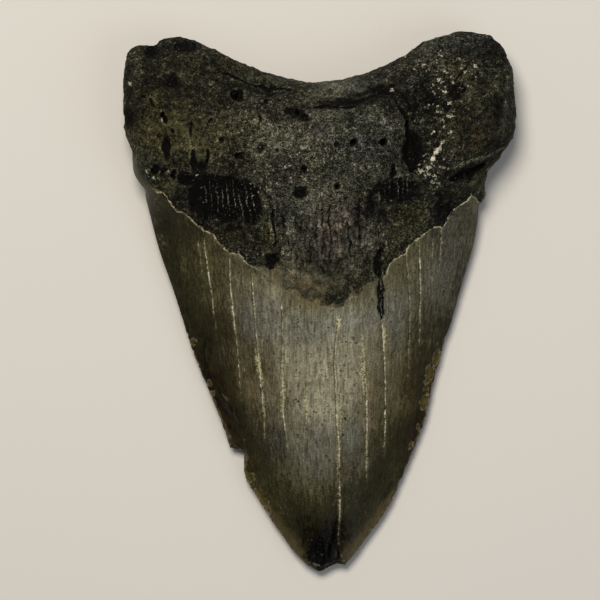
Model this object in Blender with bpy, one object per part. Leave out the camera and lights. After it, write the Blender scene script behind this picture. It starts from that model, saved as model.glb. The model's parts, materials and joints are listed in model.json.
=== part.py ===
"""A fossil megalodon tooth, lying on its flatter outer face with its tip towards -Y.

The skin is two sheets of quads, the rounded inner face above and the flatter outer face below, that
share the tooth's outline. Their rows follow how the tooth grew: straight across the tip, bent to a
deep V where the enamel ends, along the ledge under the root, and round the hollow root top.
"""

import math

import bmesh
import bpy
import numpy as np
from mathutils import Vector, noise

MM = 0.001

# Driving dimensions of the whole tooth.
TOOTH_WIDTH = 98 * MM
TOOTH_LENGTH = 135 * MM
TOOTH_THICKNESS = 27 * MM

# The mesh: pieces across the upper face, and rows in each of the tooth's three bands. Columns crowd
# towards the sides and root rows towards the top, where the root turns over. The neck's first row
# lies just past the step at the enamel's edge, and its last just before the root's ledge.
COLUMNS = 44
CROWN_ROWS = 43
NECK_ROWS = 11
ROOT_ROWS = 16
COLUMN_CROWDING = 0.15
ROOT_ROW_CROWDING = 0.35
NECK_FIRST_ROW = 0.035
NECK_INNER_ROWS = (0.1, 0.94)

# The outline in millimetres, from the tip up each side. Every band has a left and a right edge.
LEFT_CROWN_EDGE = (
    (-2.6, -66.2), (-6.0, -62.9), (-10.5, -56.6), (-15.9, -48.2), (-18.3, -44.2), (-18.9, -41.0),
    (-18.7, -37.9), (-20.3, -37.2), (-22.2, -35.6), (-23.9, -31.2), (-27.1, -22.9), (-31.4, -12.4),
    (-33.2, -6.6), (-36.6, 4.1), (-39.8, 13.4), (-42.2, 22.8), (-43.6, 28.1), (-45.1, 29.6),
)
LEFT_NECK_EDGE = ((-45.1, 29.6), (-46.5, 32.5), (-46.9, 36.2), (-47.4, 39.5))
LEFT_ROOT_EDGE = (
    (-47.4, 39.5), (-48.4, 42.8), (-49.2, 47.0), (-49.1, 52.0), (-48.9, 56.8), (-48.0, 61.5),
)
RIGHT_CROWN_EDGE = (
    (6.0, -66.0), (8.0, -64.1), (12.6, -57.8), (17.1, -51.2), (20.6, -43.4), (23.8, -35.7),
    (26.4, -28.8), (27.3, -24.2), (28.4, -19.2), (30.2, -12.8), (31.1, -9.0), (32.6, -5.4),
    (35.0, 3.6), (37.9, 13.6), (39.2, 20.9), (39.4, 24.0),
)
RIGHT_NECK_EDGE = ((39.4, 24.0), (41.2, 27.0), (42.1, 32.1), (44.9, 36.2))
RIGHT_ROOT_EDGE = (
    (44.9, 36.2), (45.9, 38.0), (48.1, 40.2), (49.0, 43.6), (48.9, 50.0), (48.2, 56.0), (46.7, 62.2),
)

# The rows that divide the bands, from left to right.
TIP_ROW = ((-2.6, -66.2), (0.0, -67.5), (2.2, -66.4), (4.4, -65.6), (6.0, -66.0))
ENAMEL_ROW_ABOVE = (
    (-45.1, 29.6), (-42.6, 29.7), (-37.7, 25.5), (-28.9, 18.0), (-22.0, 12.4), (-15.0, 8.2),
    (-9.0, 3.4), (-2.4, 0.0), (3.0, -1.6), (7.4, 1.0), (12.6, 5.4), (18.6, 11.0), (25.9, 17.2),
    (31.6, 20.4), (34.4, 24.2), (37.6, 26.4), (39.4, 24.0),
)
ENAMEL_ROW_BELOW = (
    (-45.1, 29.6), (-38.0, 31.0), (-26.0, 31.4), (-12.0, 34.6), (-2.0, 36.4), (9.0, 35.2),
    (22.0, 31.0), (32.0, 27.4), (39.4, 24.0),
)
LEDGE_ROW_ABOVE = (
    (-47.4, 39.5), (-43.4, 35.0), (-37.0, 32.2), (-28.9, 31.7), (-20.9, 31.2), (-14.4, 28.0),
    (-5.0, 26.4), (6.0, 26.6), (13.6, 28.6), (19.4, 30.4), (25.0, 30.6), (30.0, 32.0),
    (35.4, 34.0), (40.0, 35.2), (44.9, 36.2),
)
LEDGE_ROW_BELOW = (
    (-47.4, 39.5), (-38.0, 37.0), (-26.0, 36.8), (-12.0, 39.8), (-1.0, 41.4), (11.0, 39.8),
    (24.0, 36.6), (35.0, 35.0), (44.9, 36.2),
)
TOP_ROW = (
    (-48.0, 61.5), (-46.5, 63.9), (-44.3, 64.8), (-41.8, 64.0), (-40.0, 64.7), (-38.3, 66.1),
    (-32.4, 66.2), (-26.7, 63.7), (-17.9, 59.5), (-8.4, 56.2), (-0.8, 55.1), (7.1, 56.3),
    (14.1, 58.7), (19.7, 61.4), (26.0, 65.4), (30.6, 67.0), (36.0, 67.8), (41.1, 67.0),
    (44.6, 64.7), (46.7, 62.2),
)

# Heights in millimetres along the tooth, as (place, height): the upper face down its middle, the
# outline, and the lower face down its middle. Below zero is worn flat.
CREST = (
    (-67, 5.2), (-60, 7.4), (-50, 9.9), (-35, 12.9), (-20, 15.4), (-5, 17.8), (8, 20.4), (20, 23.6),
    (30, 26.0), (38, 26.8), (46, 26.0), (56, 23.6), (68, 20.0),
)
RIM = (
    (-67, 3.4), (-50, 3.2), (-25, 3.2), (0, 3.8), (20, 5.0), (30, 6.6), (40, 9.0), (55, 10.0), (68, 10.4),
)
BELLY = (
    (-67, 2.1), (-55, 0.9), (-42, 0.1), (-26, -0.5), (-10, 0.1), (5, 0.6), (20, 1.2), (36, 1.8), (68, 2.6),
)
SOFTNESS = 6.0

# How the faces turn over at their edges. Chips and notches don't bend the faces: these follow the
# edges averaged over a length to each side.
DOME_POWER = 2.1
EDGE_AVERAGE = 8.0
CROWN_TO_ROOT = (16.0, 36.0)
ROOT_ROUNDING = 11.5
ROOT_ROUNDING_BELOW = 8.0
ROOT_SIDE_DROP = 7.0
ROOT_SIDE_REACH = 24.0
# A shallow hollow runs along each cutting edge: distance from the edge, width, depth, and where it fades.
EDGE_HOLLOW = (4.6, 1.7, 0.45)
EDGE_HOLLOW_FADE = (-66, -50)

# Swellings and hollows of the upper face: centre, spread across and along, turn in degrees, height.
LUMPS = (
    ((-1.0, 36.0), (17.0, 13.0), 0, 1.2),
    ((38.5, 47.0), (7.0, 13.0), -12, 2.8),
    ((28.4, 51.0), (3.0, 9.0), -33, -2.8),
    ((23.4, 38.5), (2.8, 5.4), -8, -3.6),
    ((17.4, 42.0), (2.6, 6.0), -10, 0.9),
    ((-37.0, 48.0), (8.0, 11.0), 8, 1.6),
    ((-25.0, 46.0), (4.0, 10.0), 12, -0.8),
    ((-38.4, 39.0), (1.7, 4.2), 6, -1.1),
    ((-34.5, 62.6), (4.4, 2.6), 0, 1.2),
    ((-42.0, 61.8), (1.8, 2.6), -10, -1.2),
    ((-32.6, 60.4), (4.2, 1.5), 0, -1.1),
    ((36.0, 62.4), (4.6, 2.4), 8, 0.9),
    ((15.4, 18.2), (1.9, 8.0), 0, -1.0),
    ((-24.0, -28.6), (1.5, 5.4), 24, -0.6),
    ((29.2, -21.6), (1.4, 6.0), -10, -0.4),
    ((-16.2, -50.5), (1.6, 4.6), 36, -0.6),
    ((3.7, -60.0), (1.4, 6.0), 0, -1.3),
    ((-0.6, -64.0), (1.4, 2.4), 0, -0.6),
)
# The root's lobes bulge on the lower face too, down to the flat spots that the root lies on.
LOBE_PADS = ((-33.0, 46.0), (34.0, 46.0))
LOBE_PAD_SPREAD = 8.5
LOBE_PAD_HEIGHT = 4.4

# The furrow under the root's top rim.
RIM_FURROW = ((-24.0, 56.8), (-13.0, 52.6), (-4.9, 51.3), (4.0, 51.0), (12.0, 52.4), (19.4, 54.6))
FURROW_HALF_WIDTH = 1.5
FURROW_DEPTH = 1.5

# The neck lies lower than the enamel below it and, near the lobes, lower than the root above it.
ENAMEL_STEP = 0.6
NECK_DEPTH = 1.3
LEDGE_MIDDLE = 1.0
LEDGE_FADE = (7.0, 19.0)
ROOT_STEP_BELOW = 0.7
ROOT_STEP_SHARE = 0.2

# Holes where vessels entered the root: place, radius and depth in millimetres.
VESSEL_HOLES = (
    ((-20.9, 51.2), 1.0, 2.6), ((-14.0, 49.7), 0.6, 1.2), ((-5.4, 47.6), 0.9, 1.8),
    ((8.3, 40.1), 0.9, 1.8), ((15.7, 39.9), 1.0, 2.2), ((4.3, 28.9), 0.8, 1.6),
    ((-4.0, 33.0), 0.8, 1.4), ((-38.9, 46.3), 0.8, 1.6), ((-31.6, 44.0), 0.6, 1.2),
    ((-20.2, 36.6), 0.7, 1.2), ((18.3, 33.1), 0.7, 1.4),
)
HOLE_INSET = 0.2 * MM
HOLE_REACH = 3.2
HOLE_CLEARANCE = 0.92
HOLE_NARROWING = 0.3
UPWARD = 0.3

# Unevenness of the root and of the enamel: height and spacing. It fades out at the outline.
ROOT_UNEVEN = ((0.42, 7.0), (0.24, 3.4))
ENAMEL_UNEVEN = ((0.16, 15.0), (0.05, 5.0))
UPPER_SEED = 3
LOWER_SEED = 50
SEED_STEP = 7
RELIEF_FADE = 4.0

FOSSIL_COLOUR = (0.115, 0.105, 0.075, 1.0)


def spline(points, pieces=20):
    """A smooth line through the points, as many short straight pieces."""
    p = np.array(points, float)
    p = np.vstack([2 * p[0] - p[1], p, 2 * p[-1] - p[-2]])
    t = np.linspace(0, 1, pieces, endpoint=False)[:, None]
    spans = []
    for a, b, c, d in zip(p, p[1:], p[2:], p[3:]):
        bend = (c - a) * t + (2 * a - 5 * b + 4 * c - d) * t**2 + (3 * b - a - 3 * c + d) * t**3
        spans.append(b + 0.5 * bend)
    return np.vstack(spans + [p[-2:-1]])


def along(points, shares):
    """The places at these shares of the line's length."""
    line = spline(points)
    lengths = np.concatenate([[0], np.cumsum(np.linalg.norm(np.diff(line, axis=0), axis=1))])
    at = np.asarray(shares) * lengths[-1]
    return np.stack([np.interp(at, lengths, line[:, k]) for k in (0, 1)], axis=1)


def across(points, shares):
    """The places at these shares of the line's width, for a row that runs from left to right."""
    line = spline(points)
    x = line[0, 0] + np.asarray(shares) * (line[-1, 0] - line[0, 0])
    return np.stack([x, np.interp(x, line[:, 0], line[:, 1])], axis=1)


def soft_steps(stations, places):
    """The stations' heights at these places, with their corners softened."""
    at, height = np.array(stations, float).T
    spread = np.linspace(-SOFTNESS, SOFTNESS, 9)
    return np.mean([np.interp(places + s, at, height) for s in spread], axis=0)


def smoothstep(low, high, value):
    t = np.clip((value - low) / (high - low), 0, 1)
    return t * t * (3 - 2 * t)


def nearest(places, line):
    """Each place's distance to a line."""
    start, step = line[:-1], np.diff(line, axis=0)
    offset = places[:, None, :] - start[None]
    share = np.clip((offset * step).sum(2) / (step**2).sum(1), 0, 1)
    return np.linalg.norm(offset - share[..., None] * step, axis=2).min(axis=1)


def column_shares():
    """Shares of the width, a little closer together at the sides, where the root turns over."""
    t = np.linspace(0, 1, COLUMNS + 1)
    return t - COLUMN_CROWDING * np.sin(2 * math.pi * t) / (2 * math.pi)


def band(left, right, low, high, shares, columns):
    """The rows between two rows of the tooth, bent so that they end on its outline."""
    left_ends, right_ends = along(left, shares), along(right, shares)
    first, last = across(low, columns), across(high, columns)
    rows = []
    for share, left_end, right_end in zip(shares, left_ends, right_ends):
        row = (1 - share) * first + share * last
        to_left, to_right = left_end - row[0], right_end - row[-1]
        rows.append(row + (1 - columns)[:, None] * to_left + columns[:, None] * to_right)
    return rows


def plan(enamel_row, ledge_row, columns):
    """Every row of one face seen from above, and each row's place in the neck, from 0 to 1."""
    crown = np.linspace(0, 1, CROWN_ROWS + 1)
    neck = np.concatenate([[NECK_FIRST_ROW], np.linspace(*NECK_INNER_ROWS, NECK_ROWS - 2), [1.0]])
    root = np.linspace(0, 1, ROOT_ROWS + 1)[1:]
    root = root + ROOT_ROW_CROWDING * np.sin(math.pi * root) * root / math.pi
    rows = band(LEFT_CROWN_EDGE, RIGHT_CROWN_EDGE, TIP_ROW, enamel_row, crown, columns)
    rows += band(LEFT_NECK_EDGE, RIGHT_NECK_EDGE, enamel_row, ledge_row, neck, columns)
    rows += band(LEFT_ROOT_EDGE, RIGHT_ROOT_EDGE, ledge_row, TOP_ROW, root, columns)
    in_neck = np.concatenate([np.zeros(len(crown)), neck, np.ones(len(root))])
    return np.array(rows), in_neck


def centred_on_holes(rows):
    """Draws the rows sideways near each vessel hole, so that a quad's middle comes to lie on it."""
    for place, *_ in VESSEL_HOLES:
        middles = (rows[:-1, :-1] + rows[1:, :-1] + rows[:-1, 1:] + rows[1:, 1:]) / 4
        away = np.linalg.norm(middles - place, axis=2)
        shift = np.array(place) - middles[np.unravel_index(away.argmin(), away.shape)]
        near = np.exp(-((np.linalg.norm(rows - place, axis=2) / HOLE_REACH) ** 2))
        rows = rows + near[..., None] * shift
    return rows


def side_shares(x, y):
    """Places across the tooth, from -1 at the averaged left edge to 1 at the averaged right edge."""
    spread = np.linspace(-EDGE_AVERAGE, EDGE_AVERAGE, 13)
    left_line = np.vstack([spline(e) for e in (LEFT_CROWN_EDGE, LEFT_NECK_EDGE, LEFT_ROOT_EDGE)])
    right_line = np.vstack([spline(e) for e in (RIGHT_CROWN_EDGE, RIGHT_NECK_EDGE, RIGHT_ROOT_EDGE)])
    left = np.mean([np.interp(y + s, left_line[:, 1], left_line[:, 0]) for s in spread], axis=0)
    right = np.mean([np.interp(y + s, right_line[:, 1], right_line[:, 0]) for s in spread], axis=0)
    return np.clip((2 * x - left - right) / (right - left), -1, 1)


def uneven(x, y, layers, seed):
    """Gentle random heights, one layer for each (height, spacing)."""
    total = np.zeros(len(x))
    for height, spacing in layers:
        at = np.column_stack([x / spacing, y / spacing, np.full(len(x), float(seed))])
        total += height * np.array([noise.noise(Vector(p)) for p in at])
        seed += SEED_STEP
    return total


def outline():
    """The whole outline, seen from above."""
    edges = [spline(e) for e in (LEFT_CROWN_EDGE, LEFT_NECK_EDGE, LEFT_ROOT_EDGE, TOP_ROW)]
    edges += [spline(e)[::-1] for e in (RIGHT_ROOT_EDGE, RIGHT_NECK_EDGE, RIGHT_CROWN_EDGE, TIP_ROW)]
    return np.vstack(edges)[::4]


def round_over(depth, radius):
    """From 0 at the outline to 1 at the radius, as a quarter circle rises."""
    t = np.clip(depth / radius, 0, 1)
    return np.sqrt(1 - (1 - t) ** 2)


def lump(x, y, centre, spread, turn, height):
    """A bell-shaped swelling, or a hollow if its height is below zero."""
    angle = math.radians(turn)
    dx, dy = x - centre[0], y - centre[1]
    across_it = dx * math.cos(angle) + dy * math.sin(angle)
    along_it = dy * math.cos(angle) - dx * math.sin(angle)
    return height * np.exp(-((across_it / spread[0]) ** 2 + (along_it / spread[1]) ** 2) / 2)


def neck_relief(x, in_neck):
    """The neck's trough: a step down behind the enamel, and a ledge back up to the root's lobes."""
    lobes = smoothstep(*LEDGE_FADE, np.abs(x - LEDGE_MIDDLE))
    inside = (in_neck > 0) & (in_neck < 1)
    deep = ENAMEL_STEP + lobes * (NECK_DEPTH - ENAMEL_STEP) * in_neck
    return np.where(inside, -deep, np.where(in_neck >= 1, -ENAMEL_STEP * (1 - lobes), 0))


def relief_of_kind(x, y, in_neck, seed):
    """Unevenness: the root's all over the root and neck, the enamel's on the crown."""
    bone = smoothstep(0.0, NECK_FIRST_ROW, in_neck)
    rough = uneven(x, y, ROOT_UNEVEN, seed)
    fine = uneven(x, y, ENAMEL_UNEVEN, seed + 3 * SEED_STEP)
    return fine + bone * (rough - fine)


def upper_face(x, y, depth, in_neck):
    """Height of the rounded inner face, by the distance from the outline and the place in the neck."""
    side = side_shares(x, y)
    rim, crest = soft_steps(RIM, y), soft_steps(CREST, y)
    hollow_at, hollow_width, hollow_depth = EDGE_HOLLOW
    hollow = hollow_depth * np.exp(-(((depth - hollow_at) / hollow_width) ** 2))
    crown = rim + (crest - rim) * (1 - np.abs(side) ** DOME_POWER)
    crown -= hollow * smoothstep(*EDGE_HOLLOW_FADE, y)
    drop = ROOT_SIDE_DROP * (1 - np.exp(-((x / ROOT_SIDE_REACH) ** 2)))
    relief = neck_relief(x, in_neck) + relief_of_kind(x, y, in_neck, UPPER_SEED)
    for centre, spread, turn, height in LUMPS:
        relief = relief + lump(x, y, centre, spread, turn, height)
    furrow = nearest(np.stack([x, y], axis=1), spline(RIM_FURROW, 6))
    relief = relief - FURROW_DEPTH * np.exp(-((furrow / FURROW_HALF_WIDTH) ** 2))
    root = rim + (crest - drop - rim) * round_over(depth, ROOT_ROUNDING)
    height = crown + (root - crown) * smoothstep(*CROWN_TO_ROOT, y)
    return height + relief * smoothstep(0, RELIEF_FADE, depth)


def lower_face(x, y, depth, in_neck):
    """Height of the flatter outer face, worn flat where it would reach below zero."""
    side = side_shares(x, y)
    rim, belly = soft_steps(RIM, y), soft_steps(BELLY, y)
    crown = rim + (belly - rim) * (1 - np.abs(side) ** DOME_POWER)
    under = belly + ROOT_STEP_BELOW * smoothstep(0, ROOT_STEP_SHARE, in_neck)
    for centre in LOBE_PADS:
        under = under - lump(x, y, centre, (LOBE_PAD_SPREAD, LOBE_PAD_SPREAD), 0, LOBE_PAD_HEIGHT)
    root = rim + (under - rim) * round_over(depth, ROOT_ROUNDING_BELOW)
    height = crown + (root - crown) * smoothstep(*CROWN_TO_ROOT, y)
    relief = relief_of_kind(x, y, in_neck, LOWER_SEED)
    return np.maximum(height + relief * smoothstep(0, RELIEF_FADE, depth), 0)


def raised(rows, in_neck, face):
    """The rows as points in space: the outline at its own height, and the rest on the face."""
    flat = rows.reshape(-1, 2)
    x, y = flat.T
    z = face(x, y, nearest(flat, outline()), np.repeat(in_neck, rows.shape[1]))
    points = np.column_stack([x, y, z]).reshape(*rows.shape[:2], 3)
    for edge in (points[:, 0], points[:, -1], points[0], points[-1]):
        edge[:, 2] = soft_steps(RIM, edge[:, 1])
    return points


def skin():
    """One closed mesh. The lower face has half the columns of the upper face and shares its outline."""
    columns = column_shares()
    upper_rows, in_neck = plan(ENAMEL_ROW_ABOVE, LEDGE_ROW_ABOVE, columns)
    lower_rows, _ = plan(ENAMEL_ROW_BELOW, LEDGE_ROW_BELOW, columns[::2])
    above = raised(centred_on_holes(upper_rows), in_neck, upper_face)
    below = raised(lower_rows, in_neck, lower_face)

    mesh = bmesh.new()
    top = [[mesh.verts.new(p * MM) for p in row] for row in above]
    last = len(top) - 1
    bottom = []
    for r, row in enumerate(below):
        inner = [mesh.verts.new(p * MM) for p in row[1:-1]] if 0 < r < last else top[r][2:-2:2]
        bottom.append([top[r][0], *inner, top[r][-1]])
    for r in range(last):
        for c in range(COLUMNS):
            mesh.faces.new((top[r][c], top[r][c + 1], top[r + 1][c + 1], top[r + 1][c]))
        for c in range(COLUMNS // 2):
            near = top[r][2 * c + 1 : 2 * c + 2] if r == 0 else []
            far = top[r + 1][2 * c + 1 : 2 * c + 2] if r + 1 == last else []
            low, high = bottom[r], bottom[r + 1]
            mesh.faces.new((low[c], high[c], *far, high[c + 1], low[c + 1], *near))
    return mesh


def rounded_off(face, radius):
    """Turns a quad into an eight-sided face on a circle that stays clear of the quads around it."""
    centre = face.calc_center_median()
    room = min(((e.verts[0].co + e.verts[1].co) / 2 - centre).length for e in face.edges)
    radius = min(radius, HOLE_CLEARANCE * room)
    for edge in list(face.edges):
        bmesh.utils.edge_split(edge, edge.verts[0], 0.5)
    for vertex in face.verts:
        vertex.co = centre + (vertex.co - centre).normalized() * radius
    return radius


def sink_holes(mesh):
    """Turns the upper face nearest each vessel hole into a round pit."""
    for (x, y), radius, depth in VESSEL_HOLES:
        hole = Vector((x * MM, y * MM))
        upper = [f for f in mesh.faces if f.normal.z > UPWARD]
        face = min(upper, key=lambda f: (f.calc_center_median().xy - hole).length)
        bmesh.ops.inset_individual(mesh, faces=[face], thickness=HOLE_INSET, depth=0)
        radius = rounded_off(face, radius * MM)
        bmesh.ops.inset_individual(mesh, faces=[face], thickness=radius * HOLE_NARROWING, depth=-depth * MM)


def fit(mesh):
    """Brings the mesh to the driving dimensions, centred, with its worn spots at zero height."""
    points = np.array([v.co for v in mesh.verts])
    low, high = points.min(0), points.max(0)
    middle = ((low[0] + high[0]) / 2, (low[1] + high[1]) / 2, low[2])
    size = (TOOTH_WIDTH, TOOTH_LENGTH, TOOTH_THICKNESS)
    for vertex in mesh.verts:
        for k in range(3):
            vertex.co[k] = (vertex.co[k] - middle[k]) * size[k] / (high[k] - low[k])


def fossil_material():
    """Dark olive grey, faintly glossy."""
    material = bpy.data.materials.new("fossil")
    material.use_nodes = True
    shader = material.node_tree.nodes["Principled BSDF"]
    shader.inputs["Base Color"].default_value = FOSSIL_COLOUR
    shader.inputs["Roughness"].default_value = 0.55
    shader.inputs["Metallic"].default_value = 0.0
    return material


def main():
    for old in list(bpy.data.objects):
        bpy.data.objects.remove(old)
    mesh = skin()
    bmesh.ops.recalc_face_normals(mesh, faces=mesh.faces)
    sink_holes(mesh)
    fit(mesh)
    data = bpy.data.meshes.new("tooth")
    mesh.to_mesh(data)
    mesh.free()
    data.materials.append(fossil_material())
    data.shade_smooth()
    data.set_sharp_from_angle(angle=math.radians(40))
    tooth = bpy.data.objects.new("tooth", data)
    bpy.context.scene.collection.objects.link(tooth)


main()
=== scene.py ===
import json
import math

import bpy
import numpy as np
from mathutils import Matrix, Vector, noise

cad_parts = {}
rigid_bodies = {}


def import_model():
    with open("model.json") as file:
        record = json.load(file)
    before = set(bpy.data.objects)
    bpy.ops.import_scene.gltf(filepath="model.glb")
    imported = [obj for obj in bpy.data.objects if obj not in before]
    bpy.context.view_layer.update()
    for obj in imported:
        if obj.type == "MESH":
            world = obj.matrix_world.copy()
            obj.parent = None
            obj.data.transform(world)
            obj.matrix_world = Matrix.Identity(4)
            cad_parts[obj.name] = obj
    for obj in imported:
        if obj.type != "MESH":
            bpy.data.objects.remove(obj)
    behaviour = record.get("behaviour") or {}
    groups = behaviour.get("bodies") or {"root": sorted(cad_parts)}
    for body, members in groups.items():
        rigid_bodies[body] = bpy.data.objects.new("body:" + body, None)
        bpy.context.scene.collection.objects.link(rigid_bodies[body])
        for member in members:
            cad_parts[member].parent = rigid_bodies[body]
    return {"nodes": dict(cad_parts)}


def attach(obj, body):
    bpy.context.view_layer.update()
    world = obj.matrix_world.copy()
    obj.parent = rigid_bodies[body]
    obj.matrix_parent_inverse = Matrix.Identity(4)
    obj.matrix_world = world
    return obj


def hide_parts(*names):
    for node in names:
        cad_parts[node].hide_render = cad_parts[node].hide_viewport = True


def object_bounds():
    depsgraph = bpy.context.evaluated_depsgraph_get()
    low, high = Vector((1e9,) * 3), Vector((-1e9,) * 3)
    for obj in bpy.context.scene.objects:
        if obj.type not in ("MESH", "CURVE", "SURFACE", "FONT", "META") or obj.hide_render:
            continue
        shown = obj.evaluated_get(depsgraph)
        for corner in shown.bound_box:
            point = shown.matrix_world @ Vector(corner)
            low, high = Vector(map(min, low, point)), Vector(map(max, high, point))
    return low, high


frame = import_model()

cad_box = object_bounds()

MM = 0.001
# Seeds the random shifts, so that every run gives the same tooth
SEED = 12
noise.seed_set(SEED)

# Every place below is in millimetres on the tooth: across, then along, from its middle.

# The ragged line where the enamel ends, from left to right, on the rounded and on the flatter face.
ENAMEL_LINE = (
    (-49.5, 38.8), (-46.5, 37), (-44, 31.6), (-42.5, 29.5), (-40.9, 28.4), (-38.1, 26.4), (-36.9, 24.1),
    (-35.9, 23.1), (-34.1, 22.6), (-32.1, 21.1), (-30.4, 19.4), (-28.4, 17.6), (-26.1, 16.6),
    (-24.4, 14.4), (-22.4, 12.4), (-19.6, 11.6), (-17.6, 9.6), (-15.4, 8.6), (-11.6, 8.9), (-9.6, 7.4),
    (-9.1, 2.1), (-7.4, 2.9), (-4.6, 1.6), (-3.6, 0.6), (-0.6, 0.1), (1.6, -0.9), (5.4, -1.1),
    (8.1, 2.1), (9.6, 1.6), (10.6, 2.4), (12.6, 4.9), (13.9, 5.4), (16.6, 6.6), (17.4, 9.6),
    (19.1, 11.1), (21.4, 12.6), (22.6, 14.4), (24.4, 15.9), (26.4, 17.4), (28.6, 19.1), (30.1, 18.9),
    (30.6, 18.4), (31.6, 19.9), (32.1, 21.4), (33.4, 23.4), (35.1, 24.6), (36.9, 25.1), (37.9, 27.1),
    (40.5, 24.2),
)
ENAMEL_LINE_BELOW = (
    (-49.5, 38.8), (-44, 32.2), (-38, 30.6), (-31, 31.8), (-26, 31), (-19, 33), (-12, 34.2), (-2, 36.6),
    (3, 35.4), (9, 35.6), (16, 32.6), (22, 31.4), (32, 27), (40.5, 24.2),
)

# Growth cracks down the enamel. Each is a line from top to bottom, with how clearly it shows there.
CRACKS = (
    ((-30.4, 16.6, 0.3), (-29.9, 13.1, 0.6), (-29.4, 7.9, 0.5), (-29.1, 3.1, 0.1)),
    ((-28.9, 16.1, 0.7), (-28.1, 9.6, 1), (-27.1, 3.9, 0.8), (-26.1, -4.4, 0.6), (-25.6, -9.1, 0.1)),
    ((-22.4, 12.1, 0.6), (-22.4, 6.9, 0.9), (-21.9, 1.1, 0.8), (-21.4, -3.9, 1), (-20.6, -9.9, 0.8),
     (-20.1, -15.6, 0.7), (-19.9, -20.1, 0.7), (-19.4, -25.6, 0.2)),
    ((-19.4, 11.1, 0.4), (-19.1, 4.1, 0.3), (-18.6, -3, 0)),
    ((-17.1, 9.4, 0.5), (-16.4, 0.1, 1), (-16.1, -3.9, 0.7), (-15.6, -9.4, 0.8), (-14.9, -17.6, 0.9),
     (-14.1, -25.6, 0.9), (-13.6, -34.6, 0.4)),
    ((-9.6, 0.1, 0.5), (-9.4, -1.4, 1), (-9.1, -5.4, 0.6), (-9.4, -14.6, 0.6), (-9.1, -25.6, 0.9),
     (-8.9, -28.9, 0.9), (-7.6, -40.6, 0.3)),
    ((-2.9, -8.4, 0.2), (-3.1, -17.6, 0.5), (-3.2, -24.1, 0.5), (-2.9, -27.6, 0.7), (-3.9, -31.4, 0.6),
     (-4.1, -40.6, 0.4), (-3.6, -43.4, 0.2)),
    ((4.9, -3.5, 0.7), (4.2, -9.1, 0.7), (3.7, -13.9, 1), (3.9, -17.6, 0.9), (4.3, -25.6, 0.9),
     (4.3, -30.9, 0.8), (4.8, -34.4, 0.9), (4.9, -41.6, 0.7), (5.1, -48.9, 0.9), (4.6, -62.4, 0.5)),
    ((10.1, 1, 0.2), (10.3, -5.6, 0.3), (10.9, -12.6, 0.7), (11.4, -18.9, 0.7), (11.8, -24.1, 0.9),
     (11.8, -30.4, 1), (11.6, -45.4, 0.3)),
    ((15.4, -4.4, 0.8), (15.9, -8.1, 1), (16.1, -13.6, 0.8), (16.4, -20.4, 0.7), (16.3, -32.6, 1),
     (16.1, -37.6, 0.2)),
    ((21.6, 11.9, 0.5), (22.1, 6.6, 0.7), (22.6, -1.1, 0.6), (22.4, -9.1, 0.6), (22.3, -16.1, 0.5),
     (21.9, -19.4, 0.1)),
    ((24.8, 15.1, 0.4), (25.1, 10.1, 1), (25.2, 2.1, 0.8), (24.9, -9.1, 0.5), (24.6, -12.4, 0.1)),
    ((28.3, 15.6, 0.5), (28.1, 9.4, 0.4), (27.9, 1.4, 0.1)),
    ((30.4, 17.9, 0.7), (30, 11.1, 0.6), (29.7, 6, 0.2)),
)

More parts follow.
